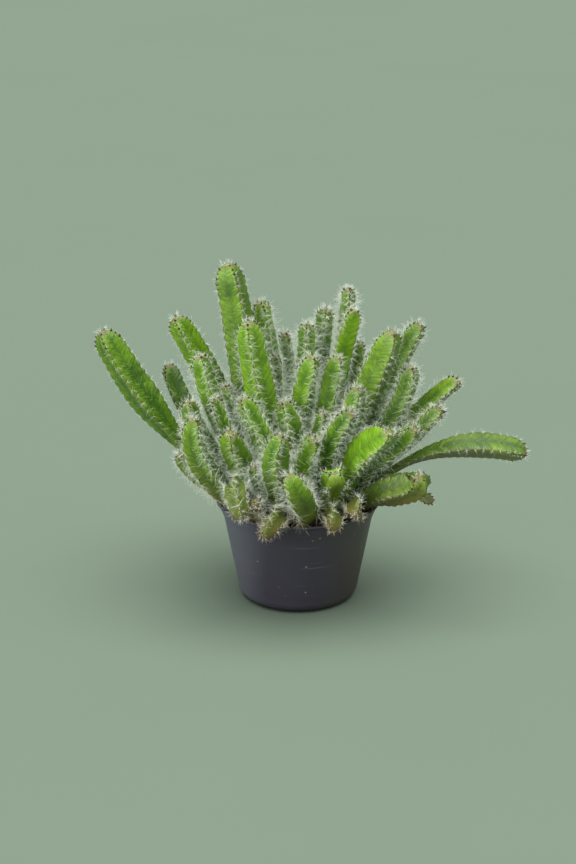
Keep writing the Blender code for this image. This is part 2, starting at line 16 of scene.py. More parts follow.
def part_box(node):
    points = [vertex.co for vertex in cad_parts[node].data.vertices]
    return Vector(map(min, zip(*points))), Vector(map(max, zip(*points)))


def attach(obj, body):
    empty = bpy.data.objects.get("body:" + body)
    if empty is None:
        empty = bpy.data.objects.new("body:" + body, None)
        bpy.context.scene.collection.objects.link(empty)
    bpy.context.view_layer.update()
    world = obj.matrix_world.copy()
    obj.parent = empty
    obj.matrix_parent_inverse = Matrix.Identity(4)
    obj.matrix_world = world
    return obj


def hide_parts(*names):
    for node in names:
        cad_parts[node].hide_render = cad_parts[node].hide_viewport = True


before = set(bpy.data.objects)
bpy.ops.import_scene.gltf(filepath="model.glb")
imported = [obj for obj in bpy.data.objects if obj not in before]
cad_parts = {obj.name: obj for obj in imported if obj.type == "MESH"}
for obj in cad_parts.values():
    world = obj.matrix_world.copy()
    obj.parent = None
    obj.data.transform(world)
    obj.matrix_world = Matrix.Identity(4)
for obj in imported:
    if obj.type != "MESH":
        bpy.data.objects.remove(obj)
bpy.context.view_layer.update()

bl_info = {
    "name": "Potted dragon fruit cactus",
    "version": (1, 0, 0),
    "blender": (4, 5, 0),
    "location": "3D View > Sidebar > Cactus",
    "description": "Dresses the solids of a potted dragon fruit cactus, piece by piece",
    "category": "Object",
}

MM = 0.001
TINY = 1e-6
UP = np.array([0.0, 0.0, 1.0])
FRONT = np.array([0.0, -1.0, 0.0])
SEED = 11

# The pot, as its solid has it
POT_HEIGHT = 65.0
POT_FOOT_RADIUS = 37.2
POT_EDGE = 7.0
POT_SHOULDER_HEIGHT = 54.0
POT_SHOULDER_RADIUS = 47.4
POT_RIM_RADIUS = 52.5
POT_LIP_HEIGHT = 1.6
POT_LIP_DEPTH = 0.6
POT_WALL = 1.2
POT_FLOOR = 1.8
DRAIN_HOLES = 5
DRAIN_CIRCLE = 22.0
DRAIN_RADIUS = 4.0

# The fine pot
EDGE_RINGS = 13  # rings of the rounded edge, and of the wall over it
WALL_FROM = 10.0  # height of the wall's lowest ring
WALL_UNDER_SHOULDER = 2.0
SHOULDER_BULGE = 0.12  # how far the shoulder stands proud of the wall
BAND_HEIGHTS = (56.0, 59.5, 62.0)  # rings of the flared band over the shoulder
LIP_UNDERCUT = 0.15  # how far below the lip the wall ends
LIP_LEDGE = 0.8  # how deep the lip's ledge is, as a share of its rounding
INNER_EDGE = 0.3  # rounding of the inner edge
INNER_HEIGHTS = (62.0, 54.0, 30.0)
POT_TURNS = 128  # columns round the pot
DRAIN_CUT = 12.0  # length of the post that cuts a drain hole

# The fine soil: its clearance from the pot's wall, its rings and columns, and its lumps as (size, height)
SOIL_CLEARANCE = 0.1
SOIL_LIFT = 0.3  # its clearance over the pot's floor
SOIL_RINGS = 30
SOIL_TURNS = 96
SOIL_LUMPS = ((9.0, 1.3), (3.2, 0.65))
WALL_MARGINS = (2.5, 0.5)  # from the pot's rounded edge up to the wall's rings, and from them to the top
SURFACE_BAND = 0.2  # how far below the top a point still belongs to the upper side
CRUMBS_FACING = 0.6  # crumbs lie where the soil's surface faces up at least this far
CRUMBS_DEEP = 5.0  # and no deeper than this below the soil's top
CRUMB_SIZES = (0.45, 1.25)  # the root of a crumb's smallest and largest size
CRUMB_SHAPES = ((0.6, 0.6, 0.45), (1.25, 1.25, 1.0))  # its lowest and highest length, width and height

# The stems, as their solids have them
SOIL_TOP = 60.0
STEM_SINK = 10.0
FEET_APART = 2.4
FOOT_SHARE = 0.6
FOOT_CIRCLE = 40.5
FOOT_WIDTH_SHARE = 0.2
FOOT_RADIUS_RANGE = (2.0, 3.2)
SWELL_LENGTHS = (50.0, 120.0)
SWELL_SHARES = (0.28, 0.42)
TAPER = 0.14
TAPER_SHARE = 0.6
TIP_ROUND = 1.15
ROUND_VALLEY = 0.9
RIBBED_VALLEY = {3: 0.45, 4: 0.55, 5: 0.66}
TWIST = 24.0
RIBS_DONE = 0.44
AXIS_STEPS = 60
RISE_SHARE = 0.22
RISE_LEAST = 12.0
HEADING_SHARE = 0.36
HEADING_LEAST = 16.0
STRAIGHTENING = 0.2
RISE_FLOOR = 10.0
LEAN_SHARE = 0.3
CROWD_ROUNDS = 150
CROWD_SAMPLES = 18
CROWD_GAP = 1.0
CROWD_PACE = 2.2
LONGEST_PUSH = 4.0
TIP_GIVE = np.array([0.2, 1.0, 0.2])
SPRING_BACK = 0.015
STEM_GAP = 0.6
LEAST_KEPT = 0.3

# Each stem: tip (across, back, up), width over the ribs, number of ribs, the way that a rib faces
# (0 is the front), and the slope of the tip where it isn't simply on the way from the foot.
STEMS = {
    "stem_left_1": ((-121.5, 0, 175.5), 22.5, 4, 13, 62),
    "stem_left_2": ((-77, 15, 179), 18.5, 4, 10, 49),
    "stem_left_3": ((-82, 24, 146), 17, 4, 45, 62),
    "stem_left_4": ((-61, -5, 161), 14.5, 4, 0, None),
    "stem_left_5": ((-46, 2, 141), 9, 3, 30, None),
    "stem_left_6": ((-67, -18, 136), 13, 4, 20, None),
    "stem_left_7": ((-63, -35, 131), 17, 4, 45, None),
    "stem_left_8": ((-72.5, -25, 103.5), 12.5, 4, 0, 42),
    "stem_left_9": ((-51, -15, 137), 10, 3, 60, None),
    "stem_tall_1": ((-44, 12, 215), 23, 4, 20, 74),
    "stem_tall_2": ((-31, -15, 186), 20, 4, 0, 88),
    "stem_tall_3": ((-25, 18, 188), 14.5, 4, 18, 84),
    "stem_tall_4": ((6, 20, 174), 13, 4, 10, None),
    "stem_tall_5": ((18, 32, 180), 13, 4, 0, None),
    "stem_tall_6": ((32.5, 45, 190), 11, 4, 15, None),
    "stem_tall_7": ((35, 20, 183), 16, 3, 60, 72),
    "stem_tall_8": ((58, -5, 176), 22, 4, 15, None),
    "stem_tall_9": ((77, 25, 172), 17, 4, 30, 50),
    "stem_middle_1": ((-14, 5, 158), 10, 3, 20, None),
    "stem_middle_2": ((-9, 27, 165), 11, 3, 0, None),
    "stem_middle_3": ((9, -10, 162), 17, 4, 10, None),
    "stem_middle_4": ((25, 0, 159), 15, 3, 40, None),
    "stem_middle_5": ((39.5, 26, 160), 10, 3, 60, None),
    "stem_middle_6": ((36, -15, 145), 15, 4, 30, None),
    "stem_middle_7": ((16, -20, 128), 9.5, 3, 0, None),
    "stem_middle_8": ((-10, -20, 137), 15.5, 4, 10, None),
    "stem_middle_9": ((-35, -25, 141), 15.5, 4, 5, None),
    "stem_right_1": ((69.5, 0, 152), 16, 4, 30, None),
    "stem_right_2": ((101, 8, 138.5), 15.5, 3, 0, 0),
    "stem_right_3": ((89, -5, 127), 14, 4, 20, 28),
    "stem_right_4": ((143, -10, 97.5), 21, 3, -8, -20),
    "stem_right_5": ((72, -25, 120), 17, 4, 45, None),
    "stem_right_6": ((72, -41, 96), 22, 5, 0, 43),
    "stem_right_7": ((85, -14, 66), 9.5, 3, 0, -10),
    "stem_right_8": ((55, -45, 126), 24, 3, 0, 66),
    "stem_front_1": ((-41, -40, 123), 18, 4, 5, None),
    "stem_front_2": ((-9, -45, 123), 18, 4, 0, None),
    "stem_front_3": ((11, -42, 119), 17, 4, 45, None),
    "stem_front_4": ((34, -35, 134), 16, 4, 25, None),
    "stem_front_5": ((-25, -38, 101), 8, 3, 0, None),
    "stem_front_6": ((-7.5, -50, 103.5), 19, 3, -20, 62),
    "stem_front_7": ((21.5, -50, 101), 20, 4, -5, 75),
    "stem_rim_1": ((-32, -63, 76), 14, 4, 0, -60),
    "stem_rim_2": ((-24, -64, 83), 14, 4, 30, 20),
    "stem_rim_3": ((-22, -68, 66.5), 13, 3, 60, -65),
    "stem_rim_4": ((19.5, -66, 69), 11.5, 3, 60, -55),
    "stem_rim_5": ((34, -60, 76), 13.5, 3, 60, -10),
    "stem_back_1": ((-58, 48, 137), 16, 4, 0, None),
    "stem_back_2": ((-30, 55, 152), 16, 4, 20, None),
    "stem_back_3": ((-4, 62, 137), 17, 3, 0, None),
    "stem_back_4": ((22, 68, 133), 15, 3, 30, None),
    "stem_back_5": ((52, 55, 145), 17, 4, 0, None),
    "stem_back_6": ((72, 50, 115), 15, 3, 10, 45),
    "stem_back_7": ((-74, 46, 102), 15, 4, 0, 35),
    "stem_back_8": ((-42, 74, 97), 15, 3, 0, 35),
    "stem_back_9": ((-6, 84, 93), 15, 4, 0, 25),
    "stem_back_10": ((32, 82, 87), 14, 3, 0, 15),
}

# Stems that don't grow in the usual way: where the foot stands (across, back), how far the stem rises
# straight up, how long the slope of its tip lasts, and between which shares of its length it swells
HABITS = {
    "stem_left_1": {"rise": 12, "reach": 84, "swelling": (0.25, 0.7)},
    "stem_left_2": {"rise": 42},
    "stem_right_3": {"swelling": (0.3, 0.7)},
    "stem_right_4": {"rise": 39, "reach": 54, "swelling": (0.3, 0.82)},
    "stem_right_6": {"foot": (36, -19)},
    "stem_front_6": {"foot": (3, -35)},
    "stem_front_7": {"foot": (12, -34)},
    "stem_rim_1": {"foot": (-27, -30), "rise": 26, "reach": 22},
    "stem_rim_2": {"foot": (-22.5, -33)},
    "stem_rim_3": {"foot": (-14, -37), "reach": 20},
    "stem_rim_4": {"foot": (21, -34)},
    "stem_rim_5": {"foot": (33, -25)},
}

# How a stem looks, where it isn't like the rest: how fresh and bright its flesh is, how brown it is, and how
# many hairs it has, as a share of the usual number. Its brightness is partly painted shade: stems at the back
# of the crowd, such as tall_5 and tall_6, have darker flesh.
USUAL_LOOK = (0.5, 0.12, 1.0)
LOOKS = {
    "stem_left_1": (0.42, 0.1, 0.3),
    "stem_left_2": (0.72, 0.12, 0.55),
    "stem_left_3": (0.12, 0.15, 0.5),
    "stem_left_4": (0.75, 0.05, 1.0),
    "stem_left_7": (0.6, 0.2, 0.9),
    "stem_left_8": (0.5, 0.2, 0.9),
    "stem_tall_1": (0.5, 0.2, 0.5),
    "stem_tall_2": (0.92, 0.12, 0.9),
    "stem_tall_3": (0.75, 0.1, 1.1),
    "stem_tall_4": (0.35, 0.05, 1.2),
    "stem_tall_5": (0.25, 0.1, 1.3),
    "stem_tall_6": (0.3, 0.2, 1.3),
    "stem_tall_7": (0.8, 0.1, 0.9),
    "stem_tall_8": (0.65, 0.22, 0.6),
    "stem_tall_9": (0.5, 0.2, 1.0),
    "stem_middle_1": (0.15, 0.3, 1.2),
    "stem_middle_2": (0.3, 0.1, 1.2),
    "stem_middle_3": (0.8, 0.12, 1.0),
    "stem_middle_9": (0.7, 0.12, 1.0),
    "stem_right_1": (0.4, 0.2, 1.1),
    "stem_right_2": (0.55, 0.3, 0.7),
    "stem_right_3": (0.45, 0.3, 0.9),
    "stem_right_4": (0.28, 0.3, 0.3),
    "stem_right_6": (0.36, 0.26, 0.12),
    "stem_right_7": (0.15, 0.2, 0.4),
    "stem_right_8": (0.85, 0.1, 0.7),
    "stem_front_1": (0.85, 0.15, 0.9),
    "stem_front_5": (0.2, 0.1, 1.2),
    "stem_front_6": (0.75, 0.2, 1.3),
    "stem_front_7": (1.0, 0.14, 0.55),
    "stem_rim_1": (0.4, 0.45, 0.8),
    "stem_rim_2": (0.35, 0.5, 0.8),
    "stem_rim_3": (0.5, 0.35, 0.8),
    "stem_rim_4": (0.4, 0.4, 0.55),
    "stem_rim_5": (0.35, 0.5, 0.6),
}

# The fine skin of a stem
FINE_STEPS = 240  # points along the axis that the skin is read from
SECTION = (0.0, 0.1, 0.3, 0.62)  # columns between a crest and a valley, in shares of the way
TIP_VALLEY = 0.66  # the valleys' depth at the very tip
PITCH_WIDTH_SHARE = 0.11  # how much the spacing of the areoles grows with the stem's width
TIP_PITCH = 0.42  # the areoles' spacing at the tip, as a share of the usual one
TIP_PITCH_REACH = 1.0  # how far from the tip they stand closer, in stem widths
RINGS_PER_PITCH = 4
LAST_AREOLE = 0.1  # where the last areoles stand, in lengths of the rounded tip from its point
DOME_RINGS = (0.05, 0.015)  # the last rings before the point, measured in the same way
NECK_RING = 2.4  # spacing of the rings below the areoles
NOTCHED_FROM = 0.16  # the areoles start this far up a stem, and are full from NOTCHED_FULL
NOTCHED_FULL = 0.4
TIP_NOTCH = 0.5  # how deep the notches still are at the tip
LEAST_NOTCH = 0.02  # no areole stands where the notches are shallower than this
BROWN_TIP = 4.5  # how far the brown of a tip reaches, in mm
BROWN_REACH = 45.0  # how far above the soil stems are browner
BROWN_SHARES = (0.6, 1.6, 1.3)  # how brown flesh is everywhere, on undersides, and near the soil

# The hairs: (how many, how long in mm) at an ordinary areole and at a stem's tip
AREOLE_HAIRS = (26, 9.5)
TIP_HAIRS = (75, 5.0)
LEAST_HAIRS = (0.12, 0.5)  # the share of their number that a stem without fur keeps, there and at the tip
LEAST_LENGTHS = (0.35, 0.65)  # the share of their length that it keeps
SLIM_SHARE = 0.6  # the share that a very slim stem's tip has of both
FULL_WIDTH = 20.0  # the width of a stem whose tip has all of them
LONGEST_FUR = 1.2  # fur past this makes more hairs, but no longer ones
LOW_HAIRS = 0.5  # how many fewer hairs stand at a stem's foot
HAIR_LENGTHS = (0.75, 0.35, 0.15)  # length everywhere, how much longer low down, how much shorter at a tip
NEAR_TIP = 1.2  # hairs this close to the tip are shorter, in stem widths
AREOLE_SEAT = 0.9  # how deep in its notch an areole sits
TIP_TUFTS = 5
TUFT_CIRCLE = 0.12  # the circle of a tip's tufts, in stem widths
TUFT_SINK = 0.5  # how deep in the tip a tuft starts
TUFT_LEAN = 0.8  # how far it leans out, against 1 along the stem
NEEDLE_POINT = 0.45  # how thick a bristle's point is, as a share of its base
BRISTLE_THICKNESS = (0.7, 1.2)  # thinnest and thickest, as shares of the usual one
HAIR_GROUPS = ("left", "tall", "middle", "right", "front", "rim", "back")
TAN_BELOW = 86.0  # hairs lower than this in front are tan
TAN_FADE = 22.0  # how far below that they are fully tan
TAN_FRONT = 25.0  # and how far in front of the middle
SCALE_REACH = 0.5  # scales stand on the areoles this close to the tip, in stem widths
SCALE_LEAN = 0.7  # how far a scale leans out from the stem, against 1 along it
SCALE_SIZES = (0.75, 1.25)  # smallest and largest, as shares of the usual one
PAD_FLATNESS = 0.6
PAD_SIZES = (0.75, 1.2)

# How bright flesh is, partly new growth and partly painted light and shade: how much its height on the stem
# adds (painted light higher up, painted shade low down), its blotches add, and the valleys add (painted
# shade: they take away), less YOUNG_FROM
YOUNG_AND_LIT_HEIGHT = 0.7
YOUNG_BLOTCH = 0.5
VALLEY_SHADE = -0.5
YOUNG_FROM = 0.74

# The lights, as the way that each shines and its spread in degrees, and the camera's place in mm:
# to the right of the origin, up in its picture, and back from it
KEY_LIGHT = ((-0.03, 0.06, -1.0), 66)
SIDE_LIGHT = ((0.62, 0.72, -0.34), 50)
SKY_COLOUR = (0.95, 0.98, 1.0, 1.0)
CAMERA_PLACE = (-6.48, 102.1, 1322.0)
SENSOR_WIDTH = 36.0
FLOOR_HALF = 15.0  # half the floor's side, in metres


def smooth(value):
    """0 to 1 with a level start and end."""
    value = np.clip(value, 0.0, 1.0)
    return value * value * (3 - 2 * value)


def unit(vector):
    return vector / max(float(np.linalg.norm(vector)), TINY)


def units(rows):
    return rows / np.maximum(np.linalg.norm(rows, axis=1), TINY)[:, None]


def bezier_weights(count):
    """One row of four Bernstein weights for each of count places along a cubic curve."""
    t = np.linspace(0, 1, count)[:, None]
    return np.hstack([(1 - t) ** 3, 3 * t * (1 - t) ** 2, 3 * t * t * (1 - t), t**3])


def foot_radius(width):
    return float(np.clip(FOOT_WIDTH_SHARE * width, *FOOT_RADIUS_RANGE))


def radius_along(name, width, share, length):
    """The crest radius at shares of a stem's length: a slim foot, a swelling body and a round tip."""
    full, foot = width / 2, foot_radius(width)
    usual = (0.0, np.interp(length, SWELL_LENGTHS, SWELL_SHARES))
    start, end = HABITS.get(name, {}).get("swelling", usual)
    body = foot + (full - foot) * smooth((share - start) / (end - start))
    body *= 1 - TAPER * smooth((share - TAPER_SHARE) / (1 - TAPER_SHARE))
    left = np.clip((1 - share) * length / (TIP_ROUND * full), 0, 1)
    return body * np.sqrt(np.clip(1 - (1 - left) ** 2, 0, 1))


def grown_controls(name, tip, slope):
    """The four control points of a stem's axis: it rises straight out of the soil and ends on its tip."""
    tip = np.array(tip, float)
    habit = HABITS.get(name, {})
    out = np.array(habit.get("foot", tip[:2] * FOOT_SHARE), float)
    out *= min(1.0, FOOT_CIRCLE / max(np.linalg.norm(out), TINY))
    foot = np.array([*out, SOIL_TOP])
    chord = float(np.linalg.norm(tip - foot))
    if slope is None:
        heading = unit(tip - foot + STRAIGHTENING * chord * UP)
    else:
        level = unit(np.array([*(tip - foot)[:2], 0.0]))
        heading = math.cos(math.radians(slope)) * level + math.sin(math.radians(slope)) * UP
    rise = habit.get("rise", max(RISE_SHARE * (tip[2] - SOIL_TOP), RISE_LEAST))
    reach = habit.get("reach", max(HEADING_SHARE * chord, HEADING_LEAST))
    return np.array([foot, foot + rise * UP, tip - reach * heading, tip])


def wall_radius(height):
    """The pot's outer radius at a height, without the lip."""
    heights = (0, POT_SHOULDER_HEIGHT, POT_HEIGHT)
    radii = (POT_FOOT_RADIUS, POT_SHOULDER_RADIUS, POT_RIM_RADIUS - POT_LIP_DEPTH)
    return np.interp(height, heights, radii)


def pot_room(points):
    """The distance from each point to the pot, and the way that leads off it."""
    out = np.maximum(np.linalg.norm(points[:, :2], axis=1), TINY)
    level = np.column_stack([points[:, :2] / out[:, None], np.zeros(len(points))])
    half_rim = (POT_WALL + POT_LIP_DEPTH) / 2
    ring = level * (POT_RIM_RADIUS - half_rim) + UP * POT_HEIGHT
    away = points - ring
    room = np.linalg.norm(away, axis=1) - half_rim
    away /= np.maximum(room + half_rim, TINY)[:, None]
    wall = wall_radius(points[:, 2])
    low = points[:, 2] < POT_HEIGHT
    within = low & (out < wall - POT_WALL / 2)
    beyond = low & ~within
    room[within] = np.minimum(room, wall - POT_WALL - out)[within]
    away[within] = -level[within]
    room[beyond] = np.minimum(room, out - wall - POT_LIP_DEPTH)[beyond]
    away[beyond] = level[beyond]
    return room, away


def spread_feet(feet, needed):
    """Moves the feet apart in the soil's plane, and keeps them in the pot."""
    delta = feet[:, None] - feet[None]
    gap = np.linalg.norm(delta, axis=2) + TINY
    over = np.clip(needed - gap, 0, None) * (1 - np.eye(len(feet))) / 2
    feet = feet + (delta / gap[:, :, None] * over[:, :, None]).sum(1)
    out = np.linalg.norm(feet, axis=1)
    return feet * np.minimum(1, FOOT_CIRCLE / np.maximum(out, TINY))[:, None]


def hold_rise(controls):
    """Keeps every stem's rise out of the soil long and steep enough."""
    rise = np.maximum(controls[:, 1, 2] - SOIL_TOP, RISE_FLOOR)
    lean = controls[:, 1, :2] - controls[:, 0, :2]
    lean *= np.minimum(1, LEAN_SHARE * rise / np.maximum(np.linalg.norm(lean, axis=1), TINY))[:, None]
    controls[:, 1, :2] = controls[:, 0, :2] + lean
    controls[:, 1, 2] = SOIL_TOP + rise


def settled_controls(widths):
    """Grows every axis, then bends the axes clear of each other and of the pot."""
    grown = np.array([grown_controls(name, tip, slope) for name, (tip, _, _, _, slope) in STEMS.items()])
    controls = grown.copy()
    weights = bezier_weights(CROWD_SAMPLES)
    share = np.linspace(0, 1, CROWD_SAMPLES)
    chords = np.linalg.norm(controls[:, 3] - controls[:, 0], axis=1)
    radii = np.concatenate([radius_along(*row[:2], share, row[2]) for row in zip(STEMS, widths, chords)])
    radii = np.maximum(radii, FOOT_RADIUS_RANGE[0])
    owner = np.repeat(np.arange(len(widths)), CROWD_SAMPLES)
    reach = np.where(owner[:, None] != owner[None], radii[:, None] + radii[None] + CROWD_GAP, 0)
    feet = np.array([foot_radius(w) for w in widths])
    feet_apart = feet[:, None] + feet[None] + FEET_APART
    pull = CROWD_PACE / weights.sum(0)[None, :, None]
    for _ in range(CROWD_ROUNDS):
        points = (weights @ controls).reshape(-1, 3)
        delta = points[:, None] - points[None]
        gap = np.sqrt((delta**2).sum(2)) + TINY
        push = (delta * (np.clip(reach - gap, 0, None) / 2 / gap)[:, :, None]).sum(1)
        room, away = pot_room(points)
        push += away * np.clip(radii + CROWD_GAP - room, 0, None)[:, None]
        push *= np.minimum(1, LONGEST_PUSH / (np.linalg.norm(push, axis=1) + TINY))[:, None]
        moved = np.einsum("mk,smd->skd", weights, push.reshape(len(widths), -1, 3)) * pull
        moved[:, 3] *= TIP_GIVE
        controls += moved + SPRING_BACK * (grown - controls)
        controls[:, 0, :2] = spread_feet(controls[:, 0, :2], feet_apart)
        controls[:, 0, 2] = SOIL_TOP
        hold_rise(controls)
    return controls


def kept_shares(points, radii):
    """What share of its radius each stem keeps where another stem, or the pot, leaves it little room."""
    flat = points.reshape(-1, 3)
    size = radii.reshape(-1)
    owner = np.repeat(np.arange(len(points)), points.shape[1])
    gap = np.linalg.norm(flat[:, None] - flat[None], axis=2)
    share = (gap - STEM_GAP) / (size[:, None] + size[None] + TINY)
    share[owner[:, None] == owner[None]] = 1
    pot_share = (pot_room(flat)[0] - STEM_GAP) / (size + TINY)
    keep = np.clip(np.minimum(share.min(1), pot_share), LEAST_KEPT, 1).reshape(radii.shape)
    for blend in (np.minimum.reduce, lambda rows: sum(rows) / 3):
        padded = np.pad(keep, ((0, 0), (1, 1)), mode="edge")
        keep = blend([padded[:, :-2], padded[:, 1:-1], padded[:, 2:]])
    return keep


def distances(points):
    """The distance along each row of points."""
    steps = np.linalg.norm(np.diff(points, axis=1), axis=2)
    return np.pad(np.cumsum(steps, axis=1), ((0, 0), (1, 0)))


def grown_axes():
    """Every stem's axis, as the solids have it."""
    widths = np.array([width for _, width, _, _, _ in STEMS.values()], float)
    controls = settled_controls(widths)
    points = bezier_weights(AXIS_STEPS) @ controls
    along = distances(points)
    radii = [radius_along(name, w, row / row[-1], row[-1]) for name, w, row in zip(STEMS, widths, along)]
    keep = kept_shares(points, np.array(radii))
    fine = bezier_weights(FINE_STEPS) @ controls
    fine_along = distances(fine)
    shares = [row / row[-1] for row in along]
    return [Axis(*row) for row in zip(STEMS, fine, fine_along, widths, shares, keep)]


class Axis:
    """A stem's axis, which is read at distances along it from the soil's surface."""

    def __init__(self, name, points, along, width, shares, keep):
        foot = points[0] - [0, 0, STEM_SINK]
        self.points = np.vstack([foot, points])
        self.along = np.concatenate([[-STEM_SINK], along])
        self.name, self.width = name, width
        self.length = float(along[-1])
        self.shares, self.keep = shares, keep
        tangents = np.gradient(self.points, self.along, axis=0)
        tangents[:2] = UP
        self.tangents = units(tangents)
        across = [FRONT]
        for tangent in self.tangents[1:]:
            across.append(unit(across[-1] - tangent * (across[-1] @ tangent)))
        self.across = np.array(across)

    def at(self, places):
        """The points, tangents and two cross axes at distances along the axis, a row for each."""
        points, tangents, across = (
            np.column_stack([np.interp(places, self.along, column) for column in rows.T])
            for rows in (self.points, self.tangents, self.across)
        )
        tangents = units(tangents)
        across = units(across - tangents * (across * tangents).sum(1)[:, None])
        return points, tangents, across, np.cross(tangents, across)

    def radius(self, places):
        share = np.clip(places / self.length, 0, 1)
        full = radius_along(self.name, self.width, share, self.length)
        return full * np.interp(share, self.shares, self.keep)


class Net:
    """Adds nodes to a node tree. Any input takes a plain value or another node's output."""

    def __init__(self, tree):
        self.tree = tree

    def fill(self, node, inputs):
        """Sets or links a node's inputs, by their names or numbers."""
        for key, value in inputs.items():
            if isinstance(value, bpy.types.NodeSocket):
                self.tree.links.new(value, node.inputs[key])
            else:
                node.inputs[key].default_value = value

    def node(self, kind, inputs=None, **settings):
        node = self.tree.nodes.new(kind)
        for name, value in settings.items():
            setattr(node, name, value)
        self.fill(node, inputs or {})
        return node

    def math(self, operation, *values, clamp=False):
        inputs = dict(enumerate(values))
        return self.node("ShaderNodeMath", inputs, operation=operation, use_clamp=clamp).outputs[0]

    def plus(self, first, second, clamp=False):
        return self.math("ADD", first, second, clamp=clamp)

    def times(self, first, second, clamp=False):
        return self.math("MULTIPLY", first, second, clamp=clamp)

    def line(self, value, factor, offset):
        """A value times a factor, and an offset."""
        return self.math("MULTIPLY_ADD", value, factor, offset)

    def between(self, value, low, high):
        """A number that goes from low to high as a value goes from 0 to 1."""
        return self.line(value, high - low, low)

    def rest(self, value):
        """What a value leaves of 1."""
        return self.math("SUBTRACT", 1.0, value)

    def power(self, value, exponent):
        return self.math("POWER", value, exponent)

    def vector(self, operation, *values):
        return self.node("ShaderNodeVectorMath", dict(enumerate(values)), operation=operation).outputs[0]

    def scaled(self, vector, factor):
        node = self.node("ShaderNodeVectorMath", {0: vector, "Scale": factor}, operation="SCALE")
        return node.outputs[0]

    def combined(self, x, y, z):
        return self.node("ShaderNodeCombineXYZ", {0: x, 1: y, 2: z}).outputs[0]

    def parts(self, vector):
        """A vector's three parts."""
        return tuple(self.node("ShaderNodeSeparateXYZ", {0: vector}).outputs)

    def ramp(self, value, low, high):
        """A smooth step of a value from 0 at low to 1 at high."""
        places = {"Value": value, "From Min": low, "From Max": high}
        return self.node("ShaderNodeMapRange", places, interpolation_type="SMOOTHSTEP").outputs[0]

    def mix(self, factor, first, second):
        """A colour between two."""
        places = {0: factor, 6: colour(first), 7: colour(second)}
        return self.node("ShaderNodeMix", places, data_type="RGBA").outputs[2]

    def coats(self, base, *coats):
        """Lays coats over a colour, one after another. Each has a mask, its strength and its colour."""
        for mask, strength, coat in coats:
            base = self.mix(mask if strength == 1 else self.times(mask, strength), base, coat)
        return base

    def cloud(self, place, scale, detail, **settings):
        inputs = {"Vector": place, "Scale": scale, "Detail": detail, **settings}
        return self.node("ShaderNodeTexNoise", inputs).outputs[0]

    def attribute(self, name, kind="FLOAT"):
        """A named attribute, in a geometry tree."""
        return self.node("GeometryNodeInputNamedAttribute", {"Name": name}, data_type=kind).outputs[0]

    def way(self, name):
        """A named attribute that is a direction, in a geometry tree."""
        return self.attribute(name, "FLOAT_VECTOR")

    def random(self, low, high, seed):
        node = self.node("FunctionNodeRandomValue", {2: low, 3: high, "Seed": seed}, data_type="FLOAT")
        return node.outputs[1]

    def random_vector(self, low, high, seed):
        inputs = {0: low, 1: high, "Seed": seed}
        return self.node("FunctionNodeRandomValue", inputs, data_type="FLOAT_VECTOR").outputs[0]

    def sawtooth(self, phase):
        """0 where the phase is a whole number, 1 halfway between."""
        part = self.math("FRACT", self.plus(phase, 0.5))
        return self.math("ABSOLUTE", self.line(part, 2.0, -1.0))


def colour(value):
    """A colour with its alpha, for a colour socket, or another node's output as it is."""
    if isinstance(value, bpy.types.NodeSocket) or len(value) == 4:
        return value
    return (*value, 1.0)


def new_tree(name, kind, inputs, outputs):
    """A node tree with named sockets, as its net, its inputs and its output node."""
    tree = bpy.data.node_groups.new(name, kind)
    for way, sockets in (("INPUT", inputs), ("OUTPUT", outputs)):
        for socket, socket_kind in sockets.items():
            tree.interface.new_socket(socket, in_out=way, socket_type="NodeSocket" + socket_kind)
    net = Net(tree)
    return net, net.node("NodeGroupInput").outputs, net.node("NodeGroupOutput")


def geometry_tree(name, inputs):
    """A geometry tree, whose first input is the geometry and whose last is the material."""
    inputs = {"Geometry": "Geometry", **inputs, "Material": "Material"}
    return new_tree(name, "GeometryNodeTree", inputs, {"Geometry": "Geometry"})


def finish_tree(net, ends, out, geometry, smooth_shaded=True):
    """Ends a geometry tree: the instances are made real and the material is set."""
    real = net.node("GeometryNodeRealizeInstances", {"Geometry": geometry}).outputs[0]
    shading = {"Geometry": real, "Shade Smooth": smooth_shaded}
    shaded = net.node("GeometryNodeSetShadeSmooth", shading).outputs[0]
    painted = net.node("GeometryNodeSetMaterial", {"Geometry": shaded, "Material": ends["Material"]})
    net.fill(out, {0: painted.outputs[0]})
    return net.tree


def grow(obj, tree, looks, **values):
    """Runs a geometry tree on an object, and leaves the plain mesh that it makes. Each of the tree's
    inputs takes the value that is given here by its name, or else the setting of that name."""
    modifier = obj.modifiers.new(tree.name, "NODES")
    modifier.node_group = tree
    for socket in tree.interface.items_tree:
        if socket.in_out == "INPUT" and socket.name != "Geometry":
            key = socket.name.lower().replace(" ", "_")
            modifier[socket.identifier] = values[key] if key in values else getattr(looks, key)
    make_plain(obj)


def make_plain(obj):
    """Turns an object's modifiers into a plain mesh."""
    graph = bpy.context.evaluated_depsgraph_get()
    made = obj.evaluated_get(graph)
    mesh = bpy.data.meshes.new_from_object(made, preserve_all_data_layers=True, depsgraph=graph)
    old = obj.data
    obj.modifiers.clear()
    obj.data = mesh
    mesh.name = obj.name
    bpy.data.meshes.remove(old)


def new_object(name, data):
    obj = bpy.data.objects.new(name, data)
    bpy.context.scene.collection.objects.link(obj)
    return obj


def mesh_of(name, bm):
    """A mesh from a bmesh, which is freed."""
    mesh = bpy.data.meshes.new(name)
    bm.to_mesh(mesh)
    bm.free()
    return mesh


def add_attribute(mesh, name, kind, values):
    """Stores one value, or one vector, for each vertex."""
    key = "vector" if kind == "FLOAT_VECTOR" else "value"
    values = np.asarray(values, np.int32 if kind == "INT" else np.float32).ravel()
    mesh.attributes.new(name, kind, "POINT").data.foreach_set(key, values)


